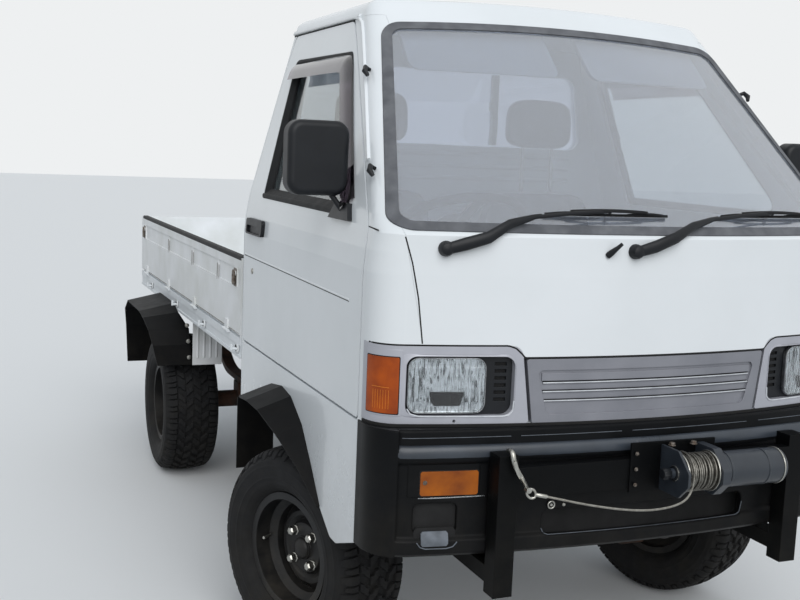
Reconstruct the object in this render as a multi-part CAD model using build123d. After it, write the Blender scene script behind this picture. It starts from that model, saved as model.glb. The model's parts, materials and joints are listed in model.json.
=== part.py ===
from build123d import *
from math import acos, pi, radians, sin, sqrt, tan
import os

# Kei truck: a cab-over mini truck with a drop-side bed, lifted on off-road tyres, with an
# electric winch on a bar guard in front of the bumper and black sheet flares over the wheels.
#
# Millimetres. While it is drawn, Y is 0 at the front axle and grows to the rear, X is 0 in
# the middle with the truck's left side at +X, and Z is 0 on the ground. Each node is moved
# along Y as it is written, so that the finished truck stands centred on its origin.

# Running gear
WHEELBASE = 1810.0
TYRE_R = 296.0
TYRE_W = 226.0
TYRE_CROWN = 10.0            # how far the tread's middle stands above its shoulders
RIM_R = 167.0                # outer edge of the rim's lip
RIM_SEAT_R = 152.0           # where the tyre's bead sits
RIM_W = 172.0
RIM_WALL = 5.0
WHEEL_X = 647.0              # middle plane of a wheel that runs straight
KINGPIN_X = 500.0
STEER_REST = 20.5            # front wheels are turned this far to the truck's left
SPINDLE_R = 21.0
TREAD_DEPTH = 9.0
TREAD_PITCHES = 18           # slanted grooves in each half of the tread
TREAD_GROOVE = 17.0          # their width
NUT_CIRCLE = 57.0
SLOT_CIRCLE = 111.0          # where the dish's four slots lie
RUNNING = 0.06               # radial clearance of a shaft in its bore
SEAT = 0.3                   # gap between a piece and the curved face that carries it

# Cab
CAB_REAR_Y = 590.0
CAB_WALL = 42.0
REAR_WALL_BOTTOM = 655.0
FRONT_R = 2527.0             # plan radius of the bowed front and windscreen
ROOF_TOP = 1832.0
ROOF_CROWN_R = 9000.0
ROOF_EDGE_R = 50.0
GUTTER_Z = 1770.0
GUTTER_PROUD = 7.0
REAR_CORNER_R = 22.0
SCREEN_Z = 1231.0            # foot of the windscreen
WAIST_Z = 1140.0             # sides are upright up to here
CAB_HALF = 693.0
FRONT_Y = -729.0
DOOR_BOTTOM = 787.0
DOOR_GAP = 6.0
DOOR_RABBET = 14.0
DOOR_SWING = 6.0             # fixed pieces beside a door stay this far inside its inner face
ARCH_FLANGE = 40.0           # inside this border of the wheel arch the cab side is one thin skin
ARCH_SKIN = 8.0
FLOOR_Z = 680.0
FLOOR_T = 30.0
RISER_Y = 60.0               # front face of the seat platform
PLATFORM_RISE = 120.0
STRUT_BOX_TOP = 765.0
PANE_GAP = 0.2
TRIM_T = 20.0                # depth of the grille and lamp surrounds
LENS_BACK = 14.0             # depth of the plate behind a headlamp

# Bed
BED_HALF = 691.0
BED_FRONT_Y = 602.0
BED_REAR_Y = 2594.0
DECK_Z = 784.0
DECK_T = 26.0
DECK_STEP = 4.0              # the deck's border under the gates lies this much lower
GATE_TOP = 1047.0
GATE_T = 24.0
GATE_CLEAR = 6.0             # gates stay this far above the deck and from each other
HINGE_OUT = 7.0              # hinge pins stand this far outside the gates
HINGE_R = 6.0
PIN_R = 3.0
RAIL_BOTTOM = 712.0
RAIL_T = 30.0
ROPE_HOOK_Y = (638.0, 1152.0, 1682.0, 2295.0)
FLARE_T = 4.0
FLARE_DROOP = 0.35           # fall of the front flare per unit of its width
SPLASH_CLEAR = 14.0          # the splash panel stands this far ahead of the rear tyre
SPLASH_BOTTOM = 514.0
BAND_LOW = 945.0             # recessed band along the gates
BAND_HIGH = 1008.0
BAND_DEPTH = 4.0
STAKE_Y = (942.0, 1385.0, 1888.0)
LATCH_IN = 66.0              # from a gate's end to its latch

# Chassis
RAIL_X = 330.0
RAIL_W = 45.0
RAIL_TOP = 640.0
RAIL_H = 90.0
SILL_TOP = 700.0             # where the bed's cross-members lie
FRAME_FRONT = -640.0
SPRING_X = 370.0
SPRING_HALF = 530.0          # from the rear axle to each spring end
SPRING_ENDS = (WHEELBASE - SPRING_HALF, WHEELBASE + SPRING_HALF)
SPRING_END_Z = 535.0
SPRING_PAD_Z = 370.0
SPRING_T = 24.0
ARM_BALL_Z = 190.0
TOWER_X = 230.0
ENGINE_REAR = 500.0
PIPE_R = 21.0
SPINDLE_OUT = 24.0
WELL_R = 132.0

# Front end
BUMPER_R = 3500.0
BUMPER_Y = -752.0
BUMPER_TOP = 790.0
BUMPER_BOTTOM = 492.0
BUMPER_T = 40.0
BUMPER_HALF = 700.0
BUMPER_CORNER = 105.0
BUMPER_FIELD = 9.0           # how far the bumper's face lies behind its ridge
BUMPER_CLEAR = 3.0
BAR_X = 412.0
BAR_W = 49.0
BAR_BOTTOM = 406.0
BAR_TOP = 741.0
WINCH_Z = 690.0
WINCH_R = 55.0               # half the side plate
DRUM_R = 46.0
DRUM_X0 = 2.0
DRUM_X1 = 92.0
SPOOL_R = 14.0
MOTOR_X1 = 288.0
MOTOR_R = 43.0
PLATE_T = 6.0
CABLE_D = 5.0
EYE_R = 13.0
HOOK_R = 7.0

# Inside the cab
STEERING_HUB = (-300.0, -190.0, 1215.0)
STEERING_LEAN = 0.55
STEERING_R = 185.0

# pivot x, blade's ends, height of the blade
WIPERS = [
    (-543.0, -284.0, 72.0, 1280.0),
    (-33.0, 221.0, 560.0, 1282.0),
]


def block(x0, x1, y0, y1, z0, z1):
    """Box between two corners."""
    size = (x1 - x0, y1 - y0, z1 - z0)
    return Pos((x0 + x1) / 2, (y0 + y1) / 2, (z0 + z1) / 2) * Box(*size)


def outline(corners):
    """Closed flat face in local u, v. A corner is (u, v, radius)."""
    points = [Vector(u, v, 0) for u, v, _ in corners]
    stops = []
    for i, (_, _, r) in enumerate(corners):
        p, before, after = points[i], points[i - 1], points[(i + 1) % len(points)]
        if r == 0:
            stops.append((p, None, p))
            continue
        a, b = (before - p).normalized(), (after - p).normalized()
        half = acos(max(-1.0, min(1.0, a.dot(b)))) / 2
        reach = r / tan(half)
        mid = p + (a + b).normalized() * (r / sin(half) - r)
        stops.append((p + a * reach, mid, p + b * reach))
    edges = []
    for i, (start, mid, end) in enumerate(stops):
        if mid is not None:
            edges.append(ThreePointArc(start, mid, end))
        nxt = stops[(i + 1) % len(stops)][0]
        if (nxt - end).length > 1e-6:
            edges.append(Line(end, nxt))
    return make_face(edges)


def side_prism(corners, x0, x1):
    """Outline drawn in Y, Z and carried from x0 to x1."""
    return extrude(Plane.YZ.offset(x0) * outline(corners), x1 - x0)


def front_prism(corners, y0, y1):
    """Outline drawn in X, Z and carried from y0 to y1."""
    return extrude(Plane.XZ.offset(-y1) * outline(corners), y1 - y0)


def sharp(points):
    """Corners with no radius."""
    return [(u, v, 0) for u, v in points]


def mirrored(shape):
    """The same piece on the other side of the truck."""
    return mirror(shape, Plane.YZ)


def pair(shape):
    """A piece with its mirror image, as two solids."""
    return Compound(children=[s for half in (shape, mirrored(shape)) for s in half.solids()])


def group(*shapes):
    """Several pieces that do not touch, in one node."""
    return Compound(children=[s for shape in shapes for s in shape.solids()])


def rod(p, q, r):
    """Round bar from p to q."""
    p, q = Vector(*p), Vector(*q)
    from_end = (Align.CENTER, Align.CENTER, Align.MIN)
    return Plane(p, z_dir=q - p) * Cylinder(r, (q - p).length, align=from_end)


def revolved(profile, axis_plane):
    """Profile drawn as (radius, height) rows and turned about the plane's normal."""
    face = Plane(axis_plane.origin, x_dir=axis_plane.x_dir, z_dir=-axis_plane.y_dir) * outline(profile)
    return revolve(face, Axis(axis_plane.origin, axis_plane.z_dir), 360)


# Cab skin

# height, half width, y of the front's middle, radius of the front corners
BELT = [
    (400.0, CAB_HALF, FRONT_Y, 85.0),
    (WAIST_Z, CAB_HALF, FRONT_Y, 85.0),
    (1190.0, 689.0, -728.0, 83.0),
    (SCREEN_Z, 682.0, -727.0, 80.0),
    (1271.0, 674.0, -686.0, 79.0),
    (1850.0, 516.5, -97.7, 50.0),
]


def half_width(z):
    """Half width of the cab at a height, between the rows of the belt table."""
    for low, high in zip(BELT, BELT[1:]):
        if z <= high[0]:
            return low[1] + (high[1] - low[1]) * (z - low[0]) / (high[0] - low[0])
    return BELT[-1][1]


def cab_section(z, half, front, corner, inset):
    """Plan outline of the cab at one height, moved inwards by inset."""
    half, front, big_r, rear = half - inset, front + inset, FRONT_R - inset, CAB_REAR_Y - inset
    r = max(corner - inset, 8.0)
    y = front + big_r - sqrt((big_r - r) ** 2 - (half - r) ** 2)
    big, centre, side = Vector(0, front + big_r, z), Vector(-half + r, y, z), Vector(-half, y, z)
    touch = big + (centre - big) * (big_r / (big_r - r))
    mid = centre + ((touch - centre).normalized() + Vector(-1, 0, 0)).normalized() * r
    over = [Vector(-v.X, v.Y, v.Z) for v in (side, mid, touch)]
    back = [Vector(half, rear, z), Vector(-half, rear, z)]
    return Wire([
        ThreePointArc(side, mid, touch),
        ThreePointArc(touch, Vector(0, front, z), over[2]),
        ThreePointArc(over[2], over[1], over[0]),
        Line(over[0], back[0]),
        Line(back[0], back[1]),
        Line(back[1], side),
    ])


def cab_form(inset, rounded=False):
    """Solid cab, its whole surface moved inwards by inset."""
    form = Solid.make_loft([cab_section(*row, inset) for row in BELT], ruled=True)
    top = ROOF_TOP - inset
    form = form & (Pos(0, 0, top - ROOF_CROWN_R) * Rot(90, 0, 0) * Cylinder(ROOF_CROWN_R, 4000))
    if rounded:
        crown = form.faces().sort_by(Axis.Z)[-1]
        form = fillet(crown.edges(), ROOF_EDGE_R)
    return form


def corner_section(z, half, front, corner):
    """Plan outline of what lies outside the rounded rear left corner of the cab at one height."""
    r, out = REAR_CORNER_R, 5.0
    side, back = Vector(half, CAB_REAR_Y - r, z), Vector(half - r, CAB_REAR_Y, z)
    mid = Vector(half - r, CAB_REAR_Y - r, z) + Vector(1, 1, 0).normalized() * r
    return Wire([
        ThreePointArc(side, mid, back),
        Line(back, back + Vector(0, out, 0)),
        Line(back + Vector(0, out, 0), Vector(half + out, CAB_REAR_Y + out, z)),
        Line(Vector(half + out, CAB_REAR_Y + out, z), side + Vector(out, 0, 0)),
        Line(side + Vector(out, 0, 0), side),
    ])


REAR_CORNER = Solid.make_loft([corner_section(*row) for row in BELT], ruled=True)
OUTER = cab_form(0, rounded=True) - REAR_CORNER - mirrored(REAR_CORNER)
SHELL = OUTER - cab_form(CAB_WALL)


def skin(outside, inside):
    """Layer of the cab's wall between two depths below its surface."""
    return cab_form(outside) - cab_form(inside)


# Windscreen, drawn in the plane of its four corners
SCREEN_HALF_LOW = 670.0
SCREEN_HALF_HIGH = 520.0
SCREEN_TOP = (-144.5, 1746.0)
SCREEN_FOOT = (-618.0, SCREEN_Z)
SCREEN_BOW_LOW = 62.0
SCREEN_BOW_HIGH = -12.0
SEAL_W = 27.0
SEAL_PROUD = 4.0
SEAL_DEPTH = 16.0
GLASS_T = 6.0


def screen_prism(inset):
    """Windscreen outline, made smaller by inset and carried square through its plane."""
    rise = Vector(0, SCREEN_TOP[0] - SCREEN_FOOT[0], SCREEN_TOP[1] - SCREEN_FOOT[1])
    normal = Vector(0, -rise.Z, rise.Y)
    plane = Plane(Vector(0, *SCREEN_FOOT), x_dir=(1, 0, 0), z_dir=normal)
    low, high, v = SCREEN_HALF_LOW, SCREEN_HALF_HIGH, rise.length
    edge = make_face([
        ThreePointArc((-low, 0), (0, -SCREEN_BOW_LOW), (low, 0)),
        Line((low, 0), (high, v)),
        ThreePointArc((high, v), (0, v + SCREEN_BOW_HIGH), (-high, v)),
        Line((-high, v), (-low, 0)),
    ])
    edge = fillet(edge.vertices(), 62)
    if inset:
        edge = offset(edge, -inset)
    return extrude(plane.offset(-40) * edge, 200)


SCREEN_HOLE = screen_prism(0)

# Doors, drawn in Y, Z: (y, z, corner radius)
DOOR_EDGE = [
    (-536.0, DOOR_BOTTOM, 12.0),
    (564.0, DOOR_BOTTOM, 25.0),
    (564.0, 1480.0, 0.0),
    (548.0, GUTTER_Z - 6, 30.0),
    (5.0, GUTTER_Z - 6, 60.0),
    (-540.0, SCREEN_Z + 5, 120.0),
    (-536.0, 960.0, 0.0),
]
WINDOW_EDGE = [
    (-418.0, 1256.0, 45.0),
    (400.0, 1260.0, 25.0),
    (436.0, 1468.0, 0.0),
    (466.0, 1682.0, 25.0),
    (-62.0, 1676.0, 40.0),
]
WHEEL_ARCH = [
    (700.0, 380.0, 0.0),
    (700.0, 594.0, 0.0),
    (584.0, 590.0, 0.0),
    (205.0, 710.0, 90.0),
    (95.0, 726.0, 60.0),
    (5.0, 716.0, 80.0),
    (-104.0, 662.0, 60.0),
    (-197.0, 573.0, 120.0),
    (-278.0, 487.0, 60.0),
    (-367.0, 436.0, 30.0),
    (-414.0, 436.0, 20.0),
    (-563.0, 490.0, 20.0),
    (-900.0, 500.0, 0.0),
    (-900.0, 380.0, 0.0),
]


def grown(corners, by):
    """Door-like outline in Y, Z, made larger by a distance."""
    return offset(outline(corners), by, kind=Kind.INTERSECTION)


def door_prism(by, x0, x1):
    return extrude(Plane.YZ.offset(x0) * grown(DOOR_EDGE, by), x1 - x0)


def window_prism(by, x0, x1):
    return extrude(Plane.YZ.offset(x0) * grown(WINDOW_EDGE, by), x1 - x0)


SEAM_LEFT = [(586.0, 600.0), (586.0, 986.0), (636.0, 1245.0)]
SEAM = [(-x, z) for x, z in SEAM_LEFT[::-1]] + SEAM_LEFT
TRIM_TOP = 979.0
TRIM_BOTTOM = 796.0
TRIM_REAR = -564.0
GRILLE_TOP = 948.0
GRILLE_GAP = 3.0
BEZEL_EDGE = [(-900, TRIM_BOTTOM, 0), (-328, TRIM_BOTTOM, 6), (-352, TRIM_TOP, 28), (-900, TRIM_TOP, 0)]


def rounded_box(u0, u1, v0, v1, r):
    """Corners of a rectangle with one radius all round."""
    return [(u0, v0, r), (u1, v0, r), (u1, v1, r), (u0, v1, r)]



NODES = {}


def build_cab():
    """Cab shell, split where its panels meet."""
    roof_zone = block(-900, 900, -500, 700, GUTTER_Z, 1900) + block(-500, 500, -400, 0, 1690, GUTTER_Z)
    front_zone = front_prism(sharp(SEAM), -900, -420)
    rear_zone = front_prism(inner_profile(380, GUTTER_Z), CAB_REAR_Y - CAB_WALL, 700)
    bezel = front_prism(BEZEL_EDGE, -900, TRIM_REAR)
    grille_zone = block(-352, 352, -900, TRIM_REAR, TRIM_BOTTOM, GRILLE_TOP + GRILLE_GAP)
    trim_zone = (bezel + mirrored(bezel) + grille_zone) & skin(0, TRIM_T + SEAT)

    gutter = cab_form(-GUTTER_PROUD) - cab_form(1)
    gutter = gutter & block(-900, 0, -40, CAB_REAR_Y - REAR_CORNER_R, GUTTER_Z, GUTTER_Z + 9)
    NODES["cab_roof"] = (SHELL & roof_zone) - SCREEN_HOLE + gutter + mirrored(gutter)
    NODES["cab_front"] = (SHELL & front_zone) - SCREEN_HOLE - trim_zone
    rear_wall = (SHELL & rear_zone) - roof_zone - front_prism(rear_window(0), 400, 700)
    rear_wall = rear_wall - block(-900, 900, 400, 700, 380, REAR_WALL_BOTTOM)
    rib_y = CAB_REAR_Y - CAB_WALL + 2
    for z in (1330, 1370, 1410):
        rear_wall = rear_wall + rod((-480, rib_y, z), (480, rib_y, z), 7)
    NODES["cab_rear_wall"] = rear_wall

    side = (SHELL & block(-900, 0, -900, 700, 400, 1900)) - roof_zone - front_zone - rear_zone
    side = side - block(SEAM[1][0], 0, -900, -420, 380, SEAM[2][1])
    side = side - SCREEN_HOLE - side_prism(WHEEL_ARCH, -900, 0) - trim_zone
    lining = extrude(Plane.YZ.offset(-900) * offset(outline(WHEEL_ARCH), ARCH_FLANGE), 900)
    side = side - (lining & cab_form(ARCH_SKIN))
    side = side - door_prism(DOOR_GAP, -900, -300)
    side = side - (door_prism(DOOR_RABBET, -900, -300) & cab_form(CAB_WALL / 2))
    side = side - block(-900, 0, -900, -700, 400, 560)
    NODES["cab_side_right"] = side
    NODES["cab_side_left"] = mirrored(side)

    door = (side_wall(0, CAB_WALL) & door_prism(0, -900, -300)) - window_prism(0, -900, -300)
    NODES["door_right"] = door
    NODES["door_left"] = mirrored(door)
    pane = side_wall(20, 20 + GLASS_T) & window_prism(-PANE_GAP, -900, -300)
    NODES["door_glass_right"] = pane
    NODES["door_glass_left"] = mirrored(pane)

    seal = screen_prism(PANE_GAP) - screen_prism(SEAL_W)
    NODES["windscreen_seal"] = skin(-SEAL_PROUD, SEAL_DEPTH) & seal
    screen = skin(2, 2 + GLASS_T) & screen_prism(SEAL_W + PANE_GAP)
    rear_pane = skin(18, 18 + GLASS_T) & front_prism(rear_window(PANE_GAP), 400, 700)
    NODES["cab_glass"] = group(screen, rear_pane)


def rear_window(inset):
    """Outline of the rear window, made smaller by inset."""
    low, high, foot, top = 525 - inset, 490 - inset, 1440 + inset, 1690 - inset
    return [(-low, foot, 40), (low, foot, 40), (high, top, 40), (-high, top, 40)]


def side_profile(depth, low, high):
    """Rows of x, z down the left side of the cab, at a depth below its surface."""
    heights = [low] + [row[0] for row in BELT if low < row[0] < high] + [high]
    return [(half_width(z) - depth, z) for z in heights]


def inner_profile(low, high):
    """Cross-section of the cabin inside its side walls, in X, Z, between two heights."""
    left = side_profile(CAB_WALL, low, high)
    return sharp(left + [(-x, z) for x, z in reversed(left)])


def side_wall(outside, inside):
    """Right side wall of the cab between two depths, as flat panels that run along Y."""
    outer, inner = side_profile(outside, 700, 1800), side_profile(inside, 700, 1800)
    return front_prism(sharp([(-x, z) for x, z in outer + inner[::-1]]), -700, 700)


def build_floor():
    """Footwell floor, seat platform, and a box over each strut."""
    inside = cab_form(CAB_WALL + SEAT)
    floor = block(-CAB_HALF, CAB_HALF, -660, RISER_Y, FLOOR_Z - FLOOR_T, FLOOR_Z)
    over = block(-900, -425, -110, RISER_Y, FLOOR_Z - FLOOR_T, STRUT_BOX_TOP + 5)
    under = block(-900, -430, -105, RISER_Y, FLOOR_Z - FLOOR_T - 1, STRUT_BOX_TOP)
    floor = (floor + over + mirrored(over)) - under - mirrored(under)
    NODES["cab_floor"] = floor & inside

    rear, top = CAB_REAR_Y - CAB_WALL - SEAT, FLOOR_Z + PLATFORM_RISE
    edge = [(RISER_Y, FLOOR_Z - FLOOR_T), (RISER_Y, top), (rear, top), (rear, top - FLOOR_T),
            (RISER_Y + FLOOR_T, top - FLOOR_T), (RISER_Y + FLOOR_T, FLOOR_Z - FLOOR_T)]
    half = CAB_HALF - CAB_WALL - DOOR_SWING
    NODES["seat_platform"] = side_prism(sharp(edge), -half, half)


def build_front():
    """Lamp surrounds, lamps, grille, bumper and its lamps."""
    trim = skin(0, TRIM_T)
    pocket_zone = front_prism(rounded_box(-638, -368, 816, 958, 25), -900, -500)
    amber_zone = block(-900, -661, -900, -592, 833, 966)
    surround = (trim & front_prism(BEZEL_EDGE, -900, TRIM_REAR)) - pocket_zone - amber_zone
    surround = surround - rod((-507, -900, 803), (-507, -600, 803), 3.5)
    NODES["headlamp_bezels"] = pair(surround)
    inside = rounded_box(-638 + PANE_GAP, -368 - PANE_GAP, 816 + PANE_GAP, 958 - PANE_GAP, 25)
    pocket = skin(LENS_BACK + PANE_GAP, TRIM_T) & front_prism(inside, -900, -500)
    for z in evenly(851, 935, 6):
        pocket = pocket - block(-410, -382, -900, -500, z - 4, z + 4)
    NODES["lamp_pockets"] = pair(pocket)
    lens_zone = front_prism(rounded_box(-634, -438, 822, 954, 22), -900, -500)
    NODES["headlamps"] = pair(skin(2, LENS_BACK) & lens_zone)
    NODES["indicators"] = pair(skin(-2, TRIM_T) & block(-900, -661.3, -900, -592.3, 833.3, 965.7))
    NODES["grille_panel"] = grille_panel(trim)

    sections = [(Pos(0, 0, z) * bumper_plan(inset)).wires()[0] for z, inset in BUMPER_FACE]
    plain = extrude(Plane.XY.offset(BUMPER_BOTTOM) * bumper_plan(0), BUMPER_TOP - BUMPER_BOTTOM)
    corner = plain & block(-900, -645, -900, -500, 400, 900)
    body = Solid.make_loft(sections, ruled=True) + corner + mirrored(corner)
    hollow = extrude(Plane.XY.offset(BUMPER_BOTTOM) * bumper_plan(BUMPER_T), BUMPER_TOP - BUMPER_BOTTOM)
    body = body - hollow - block(-900, 900, -560, -500, 400, 900)
    slot = front_prism(rounded_box(-292, 292, 528, 590, 20), -900, -500)
    for x in evenly(-220, 220, 6):
        slot = slot - (block(x - 4, x + 4, -900, -500, 400, 700) - bumper_outside(24))
    tow = front_prism(rounded_box(-606, -502, 545, 618, 15), -900, -600)
    lamp = front_prism(rounded_box(-618, -468, 643, 708, 4), -900, -600)
    body = body - slot - tow - mirrored(tow) - lamp - mirrored(lamp)
    NODES["front_bumper"] = body - cab_form(-BUMPER_CLEAR)
    lens = front_prism(rounded_box(-618 + SEAT, -468 - SEAT, 643 + SEAT, 708 - SEAT, 4), -900, -600)
    shell = extrude(Plane.XY.offset(640) * bumper_plan(BUMPER_FIELD - 3), 80)
    shell = shell - extrude(Plane.XY.offset(640) * bumper_plan(28), 80)
    NODES["bumper_lamps"] = pair(shell & lens)


# height, and how far the bumper's face lies behind its ridge there, but for its corners
BUMPER_FACE = [
    (BUMPER_BOTTOM, 8.0),
    (BUMPER_BOTTOM + 8, 0.0),
    (530.0, 0.0),
    (538.0, BUMPER_FIELD),
    (708.0, BUMPER_FIELD),
    (716.0, 2.0),
    (722.0, 0.0),
    (738.0, 0.0),
    (746.0, 3.0),
    (751.0, BUMPER_FIELD + 2),
    (BUMPER_TOP - 4, BUMPER_FIELD + 3),
    (BUMPER_TOP, BUMPER_FIELD + 8),
]


def bumper_outside(depth):
    """What lies in front of a depth in the bumper."""
    return block(-900, 900, -900, -500, 400, 900) - extrude(Plane.XY.offset(400) * bumper_plan(depth), 500)


def grille_panel(trim):
    """Grille panel with a sunken field, a raised band along its top and three thin louvres."""
    edge = [(-320, TRIM_BOTTOM, 4), (320, TRIM_BOTTOM, 4), (340, GRILLE_TOP, 6), (-340, GRILLE_TOP, 6)]
    panel = trim & front_prism(edge, -900, -500)
    field = [(-284, 816, 16), (284, 816, 16), (312, 921, 12), (-312, 921, 12)]
    panel = panel - (front_prism(field, -900, -500) & skin(-5, 5))
    bars = [(896.0, 914.0, 1.5, 300)] + [(z, z + 3, 2.0, 296) for z in (845.0, 867.0, 888.0)]
    for low, high, depth, reach in bars:
        panel = panel + (block(-reach, reach, -900, -500, low, high) & skin(depth, TRIM_T / 2))
    return panel


def bumper_plan(inset):
    """Plan outline of the bumper, moved inwards by inset."""
    half, big_r, r = BUMPER_HALF - inset, BUMPER_R - inset, BUMPER_CORNER - inset
    front = BUMPER_Y + inset
    y = front + big_r - sqrt((big_r - r) ** 2 - (half - r) ** 2)
    big, centre = Vector(0, front + big_r, 0), Vector(-half + r, y, 0)
    touch = big + (centre - big) * (big_r / (big_r - r))
    mid = centre + ((touch - centre).normalized() + Vector(-1, 0, 0)).normalized() * r
    left = [Vector(-v.X, v.Y, 0) for v in (Vector(-half, y, 0), mid, touch)]
    return make_face([
        ThreePointArc(Vector(-half, y, 0), mid, touch),
        ThreePointArc(touch, Vector(0, front, 0), left[2]),
        ThreePointArc(left[2], left[1], left[0]),
        Line(left[0], (half, -540)),
        Line((half, -540), (-half, -540)),
        Line((-half, -540), Vector(-half, y, 0)),
    ])


def build_winch():
    """Bar guard in front of the bumper, and the winch on it."""
    bar_y1 = BUMPER_Y + BUMPER_R - sqrt(BUMPER_R ** 2 - (BAR_X - BAR_W / 2) ** 2) - SEAT
    bar_y0 = bar_y1 - BAR_W
    outer, inner = BAR_X + BAR_W / 2, BAR_X - BAR_W / 2
    bar = block(-outer, -inner, bar_y0, bar_y1, BAR_BOTTOM, BAR_TOP)
    channel = block(-inner, inner, bar_y0, BUMPER_Y - SEAT, 640, 712)
    plate = block(-90, 150, bar_y0 - PLATE_T, bar_y0, 631, 752)
    arm = block(-outer, -inner, bar_y1, FRAME_FRONT + 80, 430, 470)
    foot = block(-outer, -RAIL_X, FRAME_FRONT, FRAME_FRONT + 80, 470, RAIL_TOP - RAIL_H)
    side = bar + arm + foot
    NODES["winch_mount"] = side + mirrored(side) + channel + plate

    back = bar_y0 - PLATE_T
    axis_y = back - WINCH_R - 2
    low, high, nose = WINCH_Z - WINCH_R, WINCH_Z + WINCH_R, axis_y - WINCH_R
    cheek_edge = [(back, low, 0), (back, high, 0), (axis_y - 10, high, 10), (nose, WINCH_Z + 12, 10),
                  (nose, WINCH_Z - 20, 10), (nose + 35, low, 6)]

    def on_axis(x0, x1, r):
        return rod((x0, axis_y, WINCH_Z), (x1, axis_y, WINCH_Z), r)

    near = side_prism(cheek_edge, DRUM_X0 - 8, DRUM_X0 - 1)
    gear = side_prism(cheek_edge, DRUM_X1 + 1, DRUM_X1 + 24)
    tie = block(DRUM_X0 - 1, DRUM_X1 + 1, back - 6, back, WINCH_Z - 30, WINCH_Z + 30)
    case = near + gear + tie + on_axis(DRUM_X1 + 24, MOTOR_X1, MOTOR_R)
    knob = on_axis(DRUM_X0 - 38, DRUM_X0 - 8, 12)
    NODES["winch"] = case + knob + on_axis(DRUM_X0 - 1, DRUM_X1 + 1, SPOOL_R)
    drum = on_axis(DRUM_X0, DRUM_X1, DRUM_R)
    for x in (DRUM_X0, DRUM_X1 - 4):
        drum = drum + on_axis(x, x + 4, DRUM_R + 3)
    NODES["winch_drum"] = drum - on_axis(0, 100, SPOOL_R + RUNNING)
    build_cable(axis_y, bar_y0)


def build_cable(axis_y, bar_y0):
    """Wire rope from the drum to its hook, which is hooked over the right upright bar."""
    lead = axis_y - DRUM_R - CABLE_D / 2 - SEAT
    route = [
        (14, lead, 706), (13, lead - 0.5, 682), (8, lead - 1.5, 660), (-4, lead - 3, 643),
        (-26, lead - 3, 632), (-60, lead - 1, 625), (-104, lead + 4, 622), (-150, lead + 10, 625),
        (-196, lead + 17, 631),
        (-241, lead + 24, 639), (-284, lead + 31, 648), (-322, lead + 38, 657), (-350, lead + 44, 663),
    ]
    points = [Vector(*p) for p in route]
    radii = []
    for before, p, after in zip(points, points[1:], points[2:]):
        turn = radians((p - before).get_angle(after - p))
        radii.append(0.45 * min((p - before).length, (after - p).length) / tan(turn / 2))
    print("winch cable radii", [round(r) for r in radii])
    path = FilletPolyline(*route, radius=radii)
    start = Plane(points[0], z_dir=points[1] - points[0])
    NODES["winch_cable"] = sweep(start * Circle(CABLE_D / 2), path)
    print("winch cable volume", NODES["winch_cable"].volume, "of", pi * (CABLE_D / 2) ** 2 * path.length)

    end, way = points[-1], (points[-1] - points[-2]).normalized()
    ferrule_end = end + way * 24
    eye = ferrule_end + way * (EYE_R + 1)
    ferrule = rod(tuple(end), tuple(ferrule_end), 5)
    ring = Plane(eye, x_dir=(0, 0, 1), z_dir=(0, 1, 0)) * Torus(EYE_R, 3.5)
    foot = eye + Vector(-EYE_R * 0.6, 0, EYE_R * 0.8)
    top = Vector(-BAR_X + 4, bar_y0 - HOOK_R - SEAT, BAR_TOP - 2)
    bend = Vector(-BAR_X + 4, bar_y0 - HOOK_R - SEAT, BAR_TOP + HOOK_R + SEAT)
    tip = Vector(-BAR_X + 4, bar_y0 + 24, BAR_TOP + HOOK_R + SEAT)
    hook = rod(tuple(foot), tuple(top), HOOK_R) + rod(tuple(top), tuple(bend), HOOK_R)
    for joint in (top, bend):
        hook = hook + Pos(joint) * Sphere(HOOK_R)
    NODES["winch_hook"] = ferrule + ring + hook + rod(tuple(bend), tuple(tip), HOOK_R)


# Black sheet over the front wheel: y, z of its inner edge on the arch, and its width there
FRONT_FLARE = [
    (360.0, 661.0, 58.0),
    (205.0, 710.0, 98.0),
    (95.0, 726.0, 104.0),
    (5.0, 716.0, 96.0),
    (-104.0, 662.0, 72.0),
    (-197.0, 573.0, 34.0),
    (-278.0, 487.0, 8.0),
]

# Black sheet over the rear wheel: y from the axle and z of its inner edge, x of its inner and
# outer edges, and how far the outer edge hangs below the inner one
RAIL_SIDE = BED_HALF + SEAT
REAR_FLARE = [
    (487.0, 382.0, 662.0, 802.0, 0.0),
    (452.0, 560.0, 662.0, 815.0, 0.0),
    (390.0, 672.0, RAIL_SIDE, 830.0, 25.0),
    (270.0, 732.0, RAIL_SIDE, 836.0, 32.0),
    (-60.0, 732.0, RAIL_SIDE, 836.0, 32.0),
    (-150.0, 706.0, RAIL_SIDE, 836.0, 20.0),
    (-232.0, 650.0, 662.0, 828.0, 0.0),
    (-262.0, 590.0, 662.0, 815.0, 0.0),
    (-270.0, 508.0, 655.0, 796.0, 0.0),
]


def flare_sheet(edges):
    """Bent sheet between an inner and an outer edge, thickened square to the wheel's arch."""
    sections = []
    for i, (inner, outer) in enumerate(edges):
        before, after = edges[max(i - 1, 0)][0], edges[min(i + 1, len(edges) - 1)][0]
        along = Vector(0, after.Y - before.Y, after.Z - before.Z).normalized()
        up = Vector(0, along.Z, -along.Y) * FLARE_T
        sections.append(Wire.make_polygon([inner, outer, outer + up, inner + up]))
    return Solid.make_loft(sections, ruled=True)


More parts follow.
